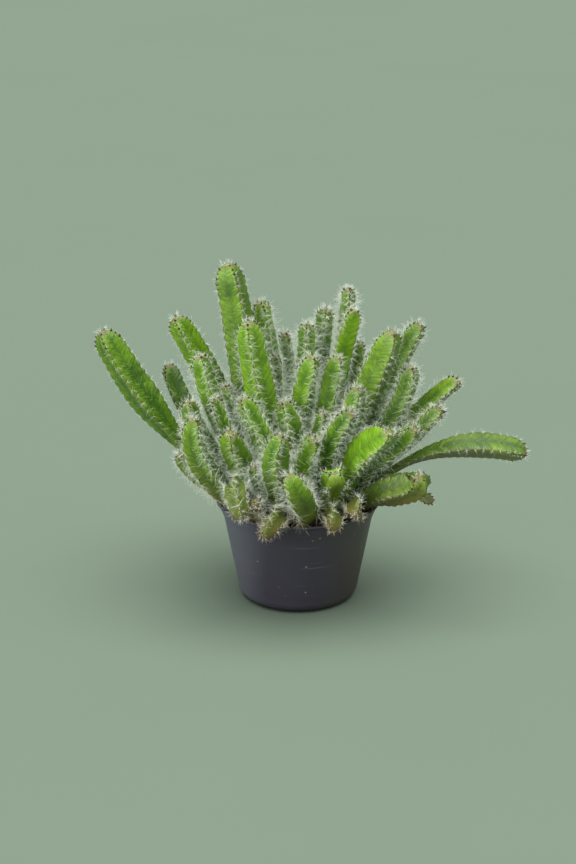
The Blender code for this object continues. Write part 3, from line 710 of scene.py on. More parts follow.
def ring_rows(axis, pitch):
    """The places of a fine stem's rings from foot to tip, and how many areole spacings each of them
    is from the tip."""
    dome = TIP_ROUND * axis.width / 2
    place = axis.length - LAST_AREOLE * dome
    places, phases = [place], [0.0]
    while place > NOTCHED_FROM * axis.length:
        from_tip = (axis.length - place) / (TIP_PITCH_REACH * axis.width)
        place -= pitch * (TIP_PITCH + (1 - TIP_PITCH) * float(smooth(from_tip))) / RINGS_PER_PITCH
        places.append(place)
        phases.append(phases[-1] + 1 / RINGS_PER_PITCH)
    while place > NECK_RING:
        place -= NECK_RING
        places.append(place)
        phases.append(phases[-1])
    foot = [-STEM_SINK, 0.0]
    top = [axis.length - share * dome for share in DOME_RINGS]
    places = foot + places[::-1] + top
    phases = [phases[-1]] * len(foot) + phases[::-1] + [-1 / RINGS_PER_PITCH] * len(top)
    return np.array(places), np.array(phases)


def section_columns(ribs):
    """For each column of a stem's skin: its share of a full turn, how far it is from crest to valley
    (0 to 1), and the rib that it is on."""
    rising = np.array([*SECTION, 1.0])
    falling = 2 - rising[-2:0:-1]
    steps = np.concatenate([rising, falling])
    shares = np.concatenate([(rib + steps / 2) / ribs for rib in range(ribs)])
    turns = np.tile(1 - np.abs(1 - steps), ribs)
    owners = [[rib] * len(rising) + [(rib + 1) % ribs] * len(falling) for rib in range(ribs)]
    return shares, turns, np.concatenate(owners)


class Sleeve:
    """A stem's round sleeve, as rings of points from foot to tip, which ribs are then pressed into."""

    def __init__(self, axis, ribs, face, twist, pitch):
        self.axis = axis
        self.places, self.phases = ring_rows(axis, pitch)
        shares, self.turns, self.owners = section_columns(ribs)
        centres, self.tangents, across, side = axis.at(self.places)
        self.height = np.clip(self.places / axis.length, 0, 1)
        angles = np.radians(face + twist * self.height)[:, None] + math.tau * shares[None]
        self.outward = np.cos(angles)[..., None] * across[:, None] + np.sin(angles)[..., None] * side[:, None]
        self.radii = axis.radius(self.places)
        self.points = centres[:, None] + self.outward * self.radii[:, None, None]
        self.ends = [centres[0], axis.points[-1]]
        dome = TIP_ROUND * axis.width / 2
        near_tip = smooth((self.places - (axis.length - dome)) / dome)
        valley = ROUND_VALLEY + (RIBBED_VALLEY[ribs] - ROUND_VALLEY) * smooth(self.height / RIBS_DONE)
        self.valley = valley + (TIP_VALLEY - valley) * near_tip
        grown = smooth((self.height - NOTCHED_FROM) / (NOTCHED_FULL - NOTCHED_FROM))
        self.notched = grown * (1 - (1 - TIP_NOTCH) * near_tip)

    def faces(self):
        """The sleeve's faces, and the areole phase at each corner of each face."""
        phases, owners = self.phases, self.owners
        rows, columns = self.points.shape[:2]
        foot, tip, last = rows * columns, rows * columns + 1, (rows - 1) * columns
        following = [*range(1, columns), 0]
        faces, face_phases = [], []
        for row in range(rows - 1):
            low, high = row * columns, (row + 1) * columns
            for this, other in enumerate(following):
                faces.append((low + this, low + other, high + other, high + this))
                shift = owners[this] if self.turns[this] < 1 else owners[other]
                face_phases.append([phases[row + step] + (shift % 2) / 2 for step in (0, 0, 1, 1)])
        for this, other in enumerate(following):
            faces += [(other, this, foot), (last + this, last + other, tip)]
            face_phases += [[phases[0]] * 3, [phases[-1]] * 3]
        return faces, face_phases

    def spread(self, values):
        """One value for each point and both ends, from a value for each ring or a grid of them."""
        values = values if values.ndim == 2 else values[:, None]
        grid = np.broadcast_to(values, self.points.shape[:2])
        return np.concatenate([grid.ravel(), [grid[0].mean(), grid[-1].mean()]])

    def as_object(self, name, look):
        """The sleeve as an object, with what the ribs and the skin's material read."""
        faces, face_phases = self.faces()
        points = np.concatenate([self.points.reshape(-1, 3), self.ends])
        ways = np.concatenate([self.outward.reshape(-1, 3), [-UP, self.tangents[-1]]])
        turns = np.broadcast_to(self.turns[None], self.points.shape[:2])
        radii = np.concatenate([np.repeat(self.radii, len(self.turns)), [0, 0]])
        bright, brown, _ = look
        everywhere, under, low = BROWN_SHARES
        under = under * np.clip(-ways[:, 2], 0, 1)
        low = low * (1 - smooth((points[:, 2] - SOIL_TOP) / BROWN_REACH))
        mesh = bpy.data.meshes.new(name)
        mesh.from_pydata([Vector(point) for point in points * MM], [], faces)
        add_attribute(mesh, "outward", "FLOAT_VECTOR", ways)
        attributes = {
            "radius": radii * MM,
            "turn": self.spread(turns),
            "phase": self.spread(self.phases[:, None] + (self.owners % 2)[None] / 2),
            "valley": self.spread(self.valley),
            "notched": self.spread(self.notched),
            "height": self.spread(self.height),
            "bright": np.full(len(points), bright),
            "tip": self.spread(1 - smooth((self.axis.length - self.places) / BROWN_TIP)),
            "brown": np.clip(brown * (everywhere + under + low), 0, 1),
        }
        for key, values in attributes.items():
            add_attribute(mesh, key, "FLOAT", values)
        corners = np.concatenate([np.array(face) for face in faces])
        flat_turns = np.concatenate([turns.ravel(), [0.5, 0.5]])
        ribs = np.column_stack([flat_turns[corners], np.concatenate(face_phases)])
        mesh.uv_layers.new(name="ribs").data.foreach_set("uv", ribs.astype(np.float32).ravel())
        return new_object(name, mesh)

    def areoles(self):
        """For each areole: its place, the ways outward and along, its distance along, and the radius."""
        spots = []
        for column in np.flatnonzero(self.turns == 0):
            shift = (self.owners[column] % 2) / 2
            for row, phase in enumerate(self.phases):
                on_areole = phase >= 0 and (phase + shift) % 1 < 1 / RINGS_PER_PITCH
                if on_areole and self.notched[row] > LEAST_NOTCH:
                    spot = self.points[row, column], self.outward[row, column], self.tangents[row]
                    spots.append((*spot, self.places[row], self.radii[row]))
        return spots


def rib_tree():
    """Presses ribs into a round sleeve: crests, valleys, the lobes between areoles and the creases."""
    names = ("Crest Width", "Valley Width", "Notch Depth", "Crease Depth", "Crease Slant")
    net, ends, out = geometry_tree("ribbed_skin", {"Ribs": "Int", **dict.fromkeys(names, "Float")})
    half = net.math("DIVIDE", math.pi, ends["Ribs"])
    valley, turn, phase, notched = (net.attribute(name) for name in ("valley", "turn", "phase", "notched"))

    def rounded(value, width):
        """A value whose corner at 0 is rounded."""
        return net.math("SQRT", net.plus(net.power(value, 2.0), net.power(width, 2.0)))

    def across_section(turn):
        """The radius from crest to valley, as a straight side whose crest and valley are rounded."""
        from_crest = rounded(turn, ends["Crest Width"])
        to_valley = rounded(net.rest(from_crest), ends["Valley Width"])
        angle = net.times(half, net.rest(to_valley))
        over = net.times(valley, net.math("SINE", half))
        beyond = net.math("SINE", net.math("SUBTRACT", half, angle))
        return net.math("DIVIDE", over, net.line(valley, beyond, net.math("SINE", angle)))

    section = net.math("DIVIDE", across_section(turn), across_section(0.0))
    on_crest = net.power(net.rest(turn), 2.0)
    at_areole = net.power(net.rest(net.sawtooth(phase)), 2.0)
    notch = net.times(net.times(at_areole, on_crest), net.times(notched, ends["Notch Depth"]))
    on_slant = net.power(net.rest(net.sawtooth(net.line(turn, ends["Crease Slant"], phase))), 3.0)
    on_face = net.times(turn, net.rest(turn))
    crease = net.times(net.times(on_slant, on_face), net.times(notched, ends["Crease Depth"]))
    kept = net.math("SUBTRACT", section, net.plus(notch, crease))
    inward = net.times(net.attribute("radius"), net.math("SUBTRACT", kept, 1.0))
    places = {"Geometry": ends["Geometry"], "Offset": net.scaled(net.way("outward"), inward)}
    moved = net.node("GeometryNodeSetPosition", places)
    return finish_tree(net, ends, out, moved.outputs[0])


def facing(net, direction, spin=None):
    """A turn that points +Z along a direction, and then spins about it."""
    turn = net.node("FunctionNodeAlignRotationToVector", {"Vector": direction}, axis="Z").outputs[0]
    if spin is None:
        return turn
    about = net.node("FunctionNodeAxisAngleToRotation", {"Axis": (0, 0, 1), "Angle": spin}).outputs[0]
    turns = {"Rotation": turn, "Rotate By": about}
    return net.node("FunctionNodeRotateRotation", turns, rotation_space="LOCAL").outputs[0]


def next_seeds(net, ends, count):
    """The seeds that follow a tree's own."""
    return [net.plus(ends["Seed"], float(step)) for step in range(1, count + 1)]


def set_out(net, points, form, turn, scale, tint_seed):
    """Sets one form on every point, each with its own tint."""
    places = {"Points": points, "Instance": form.outputs[0], "Rotation": turn, "Scale": scale}
    made = net.node("GeometryNodeInstanceOnPoints", places).outputs[0]
    tint = {"Geometry": made, "Name": "tint", "Value": net.random(0.0, 1.0, tint_seed)}
    stored = net.node("GeometryNodeStoreNamedAttribute", tint, data_type="FLOAT", domain="INSTANCE")
    return stored.outputs[0]


def hair_tree():
    """Sets a star of bristles on every areole. Each areole brings the ways outward and along, and the
    number and length of its hairs. The bristles' fan goes sideways, outwards and along."""
    sizes = {"Thickness": "Float", "Fan From": "Vector", "Fan To": "Vector", "Shortest": "Float"}
    net, ends, out = geometry_tree("areole_hairs", {**sizes, "Seed": "Int"})
    seeds = next_seeds(net, ends, 4)
    amount = {"Geometry": ends["Geometry"], "Amount": net.attribute("hairs", "INT")}
    points = net.node("GeometryNodeDuplicateElements", amount, domain="POINT").outputs[0]
    fan = net.parts(net.random_vector(ends["Fan From"], ends["Fan To"], ends["Seed"]))
    outward, along = net.way("outward"), net.way("along")
    axes = (net.vector("CROSS_PRODUCT", along, outward), outward, along)
    shares = [net.scaled(axis, share) for axis, share in zip(axes, fan)]
    way = net.vector("ADD", shares[0], net.vector("ADD", shares[1], shares[2]))
    length = net.times(net.attribute("length"), net.random(ends["Shortest"], 1.0, seeds[0]))
    thickness = net.times(ends["Thickness"], net.random(*BRISTLE_THICKNESS, seeds[1]))
    needle = {"Vertices": 3, "Radius Top": NEEDLE_POINT, "Radius Bottom": 1.0, "Depth": 1.0}
    form = net.node("GeometryNodeMeshCone", needle, fill_type="NGON")
    turn = facing(net, way, net.random(0.0, math.tau, seeds[2]))
    bristles = set_out(net, points, form, turn, net.combined(thickness, thickness, length), seeds[3])
    return finish_tree(net, ends, out, bristles)


def pad_tree():
    """Sets a small felt pad on every areole."""
    net, ends, out = geometry_tree("areole_pads", {"Pad Size": "Float", "Flatness": "Float", "Seed": "Int"})
    form = net.node("GeometryNodeMeshUVSphere", {"Segments": 4, "Rings": 3, "Radius": 1.0})
    size = net.times(ends["Pad Size"], net.random(*PAD_SIZES, ends["Seed"]))
    scale = net.combined(size, size, net.times(size, ends["Flatness"]))
    turn = facing(net, net.way("outward"))
    pads = set_out(net, ends["Geometry"], form, turn, scale, *next_seeds(net, ends, 1))
    return finish_tree(net, ends, out, pads)


def scale_tree():
    """Sets a dark pointed scale beside every areole near a tip."""
    sizes = dict.fromkeys(("Scale Length", "Scale Width", "Lean"), "Float")
    net, ends, out = geometry_tree("tip_scales", {**sizes, "Seed": "Int"})
    cone = {"Vertices": 4, "Radius Top": 0.0, "Radius Bottom": 1.0, "Depth": 1.0}
    form = net.node("GeometryNodeMeshCone", cone)
    leaning = net.vector("ADD", net.way("along"), net.scaled(net.way("outward"), ends["Lean"]))
    vary = net.random(*SCALE_SIZES, ends["Seed"])
    width, length = net.times(ends["Scale Width"], vary), net.times(ends["Scale Length"], vary)
    turn, scale = facing(net, net.vector("NORMALIZE", leaning)), net.combined(width, width, length)
    scales = set_out(net, ends["Geometry"], form, turn, scale, *next_seeds(net, ends, 1))
    return finish_tree(net, ends, out, scales)


def crumb_tree():
    """Scatters crumbs over the soil's upper side."""
    sizes = {"Crumb Density": "Float", "Crumb Size": "Float", "Seed": "Int"}
    net, ends, out = geometry_tree("soil_crumbs", sizes)
    seeds = next_seeds(net, ends, 4)
    up = net.parts(net.node("GeometryNodeInputNormal").outputs[0])[2]
    height = net.parts(net.node("GeometryNodeInputPosition").outputs[0])[2]
    above = net.math("GREATER_THAN", height, (SOIL_TOP - CRUMBS_DEEP) * MM)
    upper = net.times(net.math("GREATER_THAN", up, CRUMBS_FACING), above)
    places = {"Mesh": ends["Geometry"], "Selection": upper, "Density": ends["Crumb Density"]}
    places = {**places, "Seed": ends["Seed"]}
    points = net.node("GeometryNodeDistributePointsOnFaces", places, distribute_method="RANDOM")
    size = net.times(ends["Crumb Size"], net.power(net.random(*CRUMB_SIZES, seeds[0]), 2.0))
    shape = net.random_vector(*CRUMB_SHAPES, seeds[1])
    turn = net.random_vector((0, 0, 0), (math.tau,) * 3, seeds[2])
    form = net.node("GeometryNodeMeshIcoSphere", {"Radius": 1.0, "Subdivisions": 1})
    crumbs = set_out(net, points.outputs["Points"], form, turn, net.scaled(shape, size), seeds[3])
    return finish_tree(net, ends, out, crumbs, smooth_shaded=False)


def new_material(name):
    """A new node material, as its net and its Principled BSDF."""
    material = bpy.data.materials.new(name)
    material.use_nodes = True
    return material, Net(material.node_tree), material.node_tree.nodes["Principled BSDF"]


def object_place(net):
    return net.node("ShaderNodeTexCoord").outputs["Object"]


def shared_mask(net, name, build, place, **numbers):
    """Places a shader group that makes a mask from a place and some numbers. It is built only once."""
    numbers = {key.title(): value for key, value in numbers.items()}
    if name not in bpy.data.node_groups:
        inputs = {"Vector": "Vector", **dict.fromkeys(numbers, "Float")}
        inner, ends, out = new_tree(name, "ShaderNodeTree", inputs, {"Mask": "Float"})
        inner.fill(out, {"Mask": build(inner, ends)})
    inputs = {"Vector": place, **numbers}
    return net.node("ShaderNodeGroup", inputs, node_tree=bpy.data.node_groups[name]).outputs[0]


def mottle(net, place, scale, low, high):
    """Soft blotches that change over a surface, from 0 to 1, with scale of them in a metre."""

    def build(net, ends):
        cloud = net.cloud(ends["Vector"], ends["Scale"], 4.0, Roughness=0.6)
        return net.ramp(cloud, ends["Low"], ends["High"])

    return shared_mask(net, "mottle", build, place, scale=scale, low=low, high=high)


def specks(net, place, scale, size, share):
    """Small round specks scattered over a surface, 1 on a speck."""

    def build(net, ends):
        cells = net.node("ShaderNodeTexVoronoi", {"Vector": ends["Vector"], "Scale": ends["Scale"]})
        near = net.rest(net.ramp(cells.outputs["Distance"], 0.0, ends["Size"]))
        draw = net.node("ShaderNodeSeparateColor", {0: cells.outputs["Color"]}).outputs[0]
        return net.times(near, net.math("LESS_THAN", draw, ends["Share"]))

    return shared_mask(net, "specks", build, place, scale=scale, size=size, share=share)


def surface(net, name):
    """A named attribute, in a material."""
    return net.node("ShaderNodeAttribute", attribute_name=name).outputs["Fac"]


def bump(net, height, strength, distance):
    """A normal for a relief, whose distance is in metres."""
    places = {"Height": height, "Strength": strength, "Distance": distance}
    return net.node("ShaderNodeBump", places).outputs[0]


def skin_material(looks):
    """Waxy green flesh, with painted light and shade: brighter higher up a stem, partly for new growth,
    painted shade that makes it deep green low down and in the valleys, and darker in the slanting creases;
    streaked from crest to valley, browner where old or sunburnt, with a thin brown crest and a brown tip."""
    material, net, shader = new_material("stem_skin")
    place = object_place(net)
    turn, phase, _ = net.parts(net.node("ShaderNodeUVMap", uv_map="ribs").outputs[0])
    blotch = mottle(net, place, scale=90.0, low=0.3, high=0.7)
    fine = mottle(net, place, scale=900.0, low=0.35, high=0.65)
    slant = net.line(turn, looks.crease_slant, phase)
    on_face = net.times(net.times(turn, net.rest(turn)), 4.0)
    crease = net.times(net.power(net.rest(net.sawtooth(slant)), 3.0), on_face)
    on_ribs = net.combined(net.times(turn, 1.5), net.times(slant, 5.0), 0.0)
    streaks = net.cloud(net.vector("ADD", on_ribs, net.scaled(place, 150.0)), 1.0, 3.0)

    # Painted light and shade: flesh is brighter higher up a stem, partly for new growth, and deep green in
    # the valleys, where shade falls.
    youth_and_light = net.line(surface(net, "height"), YOUNG_AND_LIT_HEIGHT, surface(net, "bright"))
    youth_and_light = net.line(blotch, YOUNG_BLOTCH, youth_and_light)
    youth_and_light = net.line(net.power(turn, 2.0), VALLEY_SHADE, youth_and_light)
    youth_and_light = net.math("SUBTRACT", youth_and_light, YOUNG_FROM, clamp=True)
    brown = net.times(net.between(blotch, 0.7, 1.2), surface(net, "brown"), clamp=True)
    tip = net.times(surface(net, "tip"), net.between(fine, 0.4, 0.9), clamp=True)
    near_areole = net.power(net.rest(net.sawtooth(phase)), 2.0)
    crest = net.times(net.rest(net.ramp(turn, 0.02, 0.13)), net.between(near_areole, 0.4, 0.85))
    flesh = net.coats(
        net.mix(youth_and_light, looks.deep_green, looks.bright_green),
        (net.ramp(streaks, 0.52, 0.7), 0.4, looks.pale_streak),
        # Dark streaks, the flesh's own pattern, in the same deep green as the painted shade in the creases.
        (net.rest(net.ramp(streaks, 0.32, 0.49)), 0.6, looks.crease_green),
        # Painted shade: the slanting creases are darkened as well as pressed in.
        (crease, 0.35, looks.crease_green),
        (fine, 0.12, looks.pale_streak),
        (brown, 1, looks.brown_flesh),
        (tip, 1, looks.tip_brown),
        (crest, 1, looks.crest_brown),
    )
    relief = net.line(crease, -0.5, net.line(streaks, 0.8, net.times(fine, 0.25)))
    values = {
        "Base Color": flesh,
        "Roughness": net.between(blotch, 0.38, 0.52),
        "Normal": bump(net, relief, 0.5, 0.0003),
        "Subsurface Weight": 0.18,
        "Subsurface Radius": (0.5, 1.0, 0.15),
        "Subsurface Scale": 0.002,
    }
    net.fill(shader, values)
    return material


def hair_material(looks):
    """White bristles, some cream, and tan ones low in front. Real ones let light through, which a weak
    glow stands in for here, because they are thinner than the light's samples can follow."""
    material, net, shader = new_material("hair")
    white = net.mix(surface(net, "tint"), looks.white, looks.cream)
    shade = net.mix(surface(net, "tan"), white, looks.tan)
    glow = {"Emission Color": colour(looks.glow), "Emission Strength": looks.glow_strength}
    net.fill(shader, {"Base Color": shade, "Roughness": 0.45, **glow})
    return material


def pad_material(looks):
    """Cream felt, some of it darker."""
    material, net, shader = new_material("areole_felt")
    place = object_place(net)
    felt = bump(net, net.cloud(place, 3000.0, 3.0), 0.6, 0.0002)
    shade = net.mix(surface(net, "tint"), looks.cream, looks.pad_shade)
    net.fill(shader, {"Base Color": shade, "Roughness": 0.9, "Normal": felt})
    return material


def scale_material(looks):
    """Dry brown scales, streaked and of different shades."""
    material, net, shader = new_material("scale_brown")
    place = object_place(net)
    streaks = mottle(net, place, scale=700.0, low=0.3, high=0.7)
    shade = net.line(streaks, 0.5, net.times(surface(net, "tint"), 0.5))
    net.fill(shader, {"Base Color": net.mix(shade, looks.scale_dark, looks.scale_light), "Roughness": 0.6})
    return material


def plastic_material(looks):
    """Thin dark plastic with painted light: a pale bluish sheen on the left side, where the light comes from,
    and a paler grey on the right side that makes up for the shade there. Over it, brown dirt, pale scuffs and
    dust specks.
    """
    material, net, shader = new_material("pot_plastic")
    place = object_place(net)
    x_place = net.parts(place)[0]
    blotch = mottle(net, place, scale=28.0, low=0.35, high=0.7)
    cloud = mottle(net, place, scale=9.0, low=0.35, high=0.65)
    # Painted light: the plastic is a pale bluish grey towards the left side, where the light comes from, and
    # its plain grey further right, with a little mottle between them.
    plain_grey = net.plus(net.ramp(x_place, -0.046, -0.014), net.times(cloud, 0.15), clamp=True)
    slanted = {"Vector": place, "Rotation": (0.0, math.radians(35), 0.0), "Scale": (14.0, 60.0, 520.0)}
    slanted = net.node("ShaderNodeMapping", slanted).outputs[0]
    scuffed = net.times(net.ramp(net.cloud(slanted, 1.0, 2.0), 0.62, 0.76), net.ramp(blotch, 0.3, 0.9))
    body = net.coats(
        net.mix(plain_grey, looks.left_sheen_grey, looks.plain_grey),
        # Painted light: a paler grey towards the right side, which makes up for the shade that the light from
        # the left leaves there.
        (net.ramp(x_place, 0.005, 0.045), 1, looks.right_fill_grey),
        (net.times(net.ramp(x_place, 0.022, 0.05), blotch), 0.75, looks.dirt),
        (scuffed, 0.35, looks.scuff),
        (specks(net, place, scale=230.0, size=0.22, share=0.12), 0.7, looks.dust),
    )
    grain = net.line(scuffed, -0.4, net.cloud(place, 1600.0, 2.0))
    rough = net.line(scuffed, 0.2, net.between(blotch, 0.42, 0.56))
    net.fill(shader, {"Base Color": body, "Roughness": rough, "Normal": bump(net, grain, 0.25, 0.0002)})
    return material


def soil_material(looks, name, by_crumb):
    """Dark peat, with paler crumbs of bark and a few white ones of perlite."""
    material, net, shader = new_material(name)
    place = object_place(net)
    shade = net.mix(mottle(net, place, scale=260.0, low=0.3, high=0.7), looks.dark, looks.brown)
    if by_crumb:
        tint = surface(net, "tint")
        white = net.math("GREATER_THAN", tint, 0.965)
        shade = net.coats(shade, (net.ramp(tint, 0.55, 0.97), 1, looks.bark), (white, 1, looks.perlite))
    grain = bump(net, net.cloud(place, 1400.0, 4.0), 0.8, 0.0006)
    net.fill(shader, {"Base Color": shade, "Roughness": 0.95, "Normal": grain})
    return material


def floor_material(looks):
    """A matt floor, with faint blotches."""
    material, net, shader = new_material("floor")
    place = object_place(net)
    shade = net.mix(mottle(net, place, scale=3.0, low=0.2, high=0.8), looks.floor, looks.floor_shade)
    net.fill(shader, {"Base Color": shade, "Roughness": 0.9, "Specular IOR Level": 0.1})
    return material


def turned_mesh(name, profile, steps):
    """Turns a profile of (radius, height) points, which starts and ends on the axis, about +Z."""
    (_, bottom), *rings, (_, top) = profile
    turns = [math.tau * step / steps for step in range(steps)]
    points = [(radius * math.cos(turn), radius * math.sin(turn), z) for radius, z in rings for turn in turns]
    points += [(0, 0, bottom), (0, 0, top)]
    foot, head, last = len(points) - 2, len(points) - 1, (len(rings) - 1) * steps
    faces = []
    for this in range(steps):
        other = (this + 1) % steps
        faces += [(foot, other, this), (last + this, last + other, head)]
        for low in range(0, last, steps):
            faces.append((low + this, low + other, low + steps + other, low + steps + this))
    mesh = bpy.data.meshes.new(name)
    mesh.from_pydata([Vector(point) * MM for point in points], [], faces)
    mesh.shade_smooth()
    return mesh


def arc(centre, radius, start, end, count):
    """Points (radius, height) along an arc, whose angles are in degrees from straight out."""
    angles = [math.radians(start + (end - start) * step / count) for step in range(count + 1)]
    return [(centre[0] + radius * math.cos(a), centre[1] + radius * math.sin(a)) for a in angles]


def dress(piece, nodes):
    """Puts a finished piece on the model's one body, in place of its solids."""
    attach(piece, "root")
    if nodes:
        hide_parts(*nodes)


def a_number(name, about, default, **more):
    """A plain number that a user may change."""
    return bpy.props.FloatProperty(name=name, description=about, default=default, **more)


def a_size(name, about, default):
    """A size in metres that a user may change."""
    return a_number(name, about, default, unit="LENGTH")


def a_colour(name, about, default):
    """A colour that a user may change."""
    return bpy.props.FloatVectorProperty(name=name, description=about, default=default, subtype="COLOR")


def a_direction(name, about, default):
    """A direction that a user may change."""
    return bpy.props.FloatVectorProperty(name=name, description=about, default=default)


class StemSettings(bpy.types.PropertyGroup):
    areole_pitch: a_size("Areole pitch", "Spacing of the areoles on a very slim stem", 0.003)
    crest_width: a_number("Crest width", "Rounding of the ribs' crests, as a share of a rib's side", 0.07)
    valley_width: a_number("Valley width", "Rounding of the valleys, as a share of a rib's side", 0.2)
    notch_depth: a_number("Notch depth", "Drop of the crest at an areole, as a share of the radius", 0.075)
    crease_depth: a_number("Crease depth", "Depth of the slanting creases, as a share of the radius", 0.035)
    crease_slant: a_number("Crease slant", "How many areole spacings a crease rises from the crest", -0.9)
    # Deep green is old flesh and also the painted shade low down and in the valleys; bright green is new
    # flesh and also the painted light higher up.
    deep_green: a_colour("Deep green", "Old flesh", (0.016, 0.092, 0.003))
    bright_green: a_colour("Bright green", "Young flesh", (0.22, 0.46, 0.006))
    # Dark streaks in the flesh, and the painted shade in the creases.
    crease_green: a_colour("Crease green", "Flesh in the creases", (0.012, 0.07, 0.004))
    pale_streak: a_colour("Pale streak", "Veins and fine pale dots", (0.36, 0.6, 0.05))
    brown_flesh: a_colour("Brown flesh", "Sunburnt and old flesh", (0.15, 0.1, 0.03))
    tip_brown: a_colour("Tip brown", "Scaly new growth", (0.2, 0.13, 0.06))
    crest_brown: a_colour("Crest brown", "The thin line along a crest", (0.14, 0.07, 0.025))


class HairSettings(bpy.types.PropertyGroup):
    thickness: a_size("Thickness", "Radius of a bristle's base", 0.000078)
    fan_from: a_direction("Fan from", "One end of the fan: sideways, outwards, up", (-1, -0.1, -0.75))
    fan_to: a_direction("Fan to", "The other end of the bristles' fan", (1, 0.75, 0.7))
    shortest: a_number("Shortest", "Length of the shortest bristle, as a share of the longest", 0.3)
    pad_size: a_size("Pad size", "Radius of an areole's felt pad", 0.00036)
    scale_length: a_size("Scale length", "Length of a tip's scales", 0.0018)
    scale_width: a_size("Scale width", "Half width of a tip's scales", 0.0008)
    white: a_colour("White", "White bristles", (0.93, 0.97, 0.94))
    cream: a_colour("Cream", "Cream bristles and pads", (0.85, 0.83, 0.68))
    tan: a_colour("Tan", "Bristles low in front", (0.6, 0.44, 0.3))
    glow: a_colour("Glow", "The light that comes through the bristles", (0.65, 1.0, 0.6))
    glow_strength: a_number("Glow strength", "How strongly it comes through them", 0.08)
    pad_shade: a_colour("Pad shade", "Darker felt", (0.4, 0.33, 0.2))
    scale_dark: a_colour("Scale dark", "Dark scales", (0.03, 0.018, 0.012))
    scale_light: a_colour("Scale light", "Lighter scales", (0.13, 0.065, 0.025))


class PotSettings(bpy.types.PropertyGroup):
    # Painted light: the pale bluish sheen on the pot's left side, towards the light, not clean plastic.
    left_sheen_grey: a_colour("Cool grey", "Clean plastic", (0.09, 0.092, 0.12))
    # The plastic's plain grey, away from the painted sheen on the left.
    plain_grey: a_colour("Warm grey", "Handled plastic", (0.031, 0.027, 0.041))
    # Painted light: the paler grey of the pot's right side, which the light from the left leaves in shade,
    # not dust.
    right_fill_grey: a_colour("Dusty grey", "Plastic under a film of dust", (0.078, 0.066, 0.066))
    dirt: a_colour("Dirt", "Dried soil on the wall", (0.12, 0.082, 0.056))
    scuff: a_colour("Scuff", "Pale scratches", (0.14, 0.135, 0.14))
    dust: a_colour("Dust", "Dust specks", (0.3, 0.28, 0.26))


class SoilSettings(bpy.types.PropertyGroup):
    crumb_size: a_size("Crumb size", "Radius of a large crumb", 0.0012)
    crumb_density: a_number("Crumb density", "Crumbs for each square metre", 150000.0)
    dark: a_colour("Dark peat", "Moist peat", (0.02, 0.012, 0.008))
    brown: a_colour("Brown peat", "Drier peat", (0.06, 0.036, 0.022))
    bark: a_colour("Bark", "Bark crumbs", (0.14, 0.08, 0.045))
    perlite: a_colour("Perlite", "White crumbs", (0.6, 0.58, 0.52))


class StageSettings(bpy.types.PropertyGroup):
    lens: a_number("Lens", "Focal length in millimetres", 85.0)
    elevation: a_number("Elevation", "How far the camera looks down", math.radians(20), subtype="ANGLE")
    key: a_number("Key light", "Strength of the light from above", 2.6)
    side: a_number("Side light", "Strength of the light from the left", 2.5)
    sky: a_number("Sky", "Strength of the light from all sides", 0.33)
    floor: a_colour("Floor", "Pale sage floor", (0.256, 0.334, 0.248))
    floor_shade: a_colour("Floor shade", "The floor's faint blotches", (0.25, 0.327, 0.243))


def check_growth(name, axis):
    """Makes sure that a stem ends where its solid does."""
    low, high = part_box(name)
    tip = Vector(axis.points[-1]) * MM
    if not all(low[i] - MM < tip[i] < high[i] + MM for i in range(3)):
        raise RuntimeError(f"{name} doesn't grow to where its solid ends")


class CACTUS_OT_stems(bpy.types.Operator):
    """Makes the fine ribbed stems, and keeps a mesh of areole points for each group of stems"""

    bl_idname = "cactus.stems"
    bl_label = "Stems"

    def execute(self, context):
        looks = context.scene.cactus_stems
        tree, material = rib_tree(), skin_material(looks)
        areoles = {group: [] for group in HAIR_GROUPS}
        for order, (axis, (name, (_, width, ribs, face, _))) in enumerate(zip(grown_axes(), STEMS.items())):
            check_growth(name, axis)
            twist = TWIST * np.random.default_rng([SEED, order]).uniform(-1, 1)
            pitch = looks.areole_pitch / MM + PITCH_WIDTH_SHARE * width
            look = LOOKS.get(name, USUAL_LOOK)
            sleeve = Sleeve(axis, ribs, face, twist, pitch)
            piece = sleeve.as_object(name.replace("stem_", "skin_"), look)
            grow(piece, tree, looks, ribs=ribs, material=material)
            dress(piece, [name])
            fur = look[2]
            rows = areole_rows(axis, sleeve.areoles(), fur, looks.notch_depth) + tip_rows(axis, fur)
            areoles[name.split("_")[1]] += rows
        for group, rows in areoles.items():
            keep_areoles(group, rows)
        return {"FINISHED"}


def tan_share(place):
    """How tan the hairs at a place are: those that stand low in front."""
    return float(smooth((TAN_BELOW - place[2]) / TAN_FADE) * smooth(-place[1] / TAN_FRONT))


def areole_rows(axis, spots, fur, notch_depth):
    """A row for each of a stem's areoles: place, outward, along, hairs, their length, how tan they are
    and how near to the tip it is."""
    most, longest = AREOLE_HAIRS
    everywhere, longer, shorter = HAIR_LENGTHS
    bare, stubby = LEAST_HAIRS[0], LEAST_LENGTHS[0]
    furred = stubby + (1 - stubby) * min(fur, LONGEST_FUR)
    rows = []
    for place, outward, along, at, radius in spots:
        from_tip = (axis.length - at) / axis.width
        near = float(1 - smooth(from_tip / NEAR_TIP))
        low = 1 - at / axis.length
        full = 2 * radius / axis.width
        seat = place - outward * radius * notch_depth * AREOLE_SEAT
        hairs = round(most * (bare + (1 - bare) * fur) * full * full * (1 - LOW_HAIRS * low))
        length = longest * (everywhere + longer * low - shorter * near) * furred
        near = near if from_tip < SCALE_REACH else 0.0
        rows.append((seat, outward, along, hairs, length, tan_share(seat), near))
    return rows


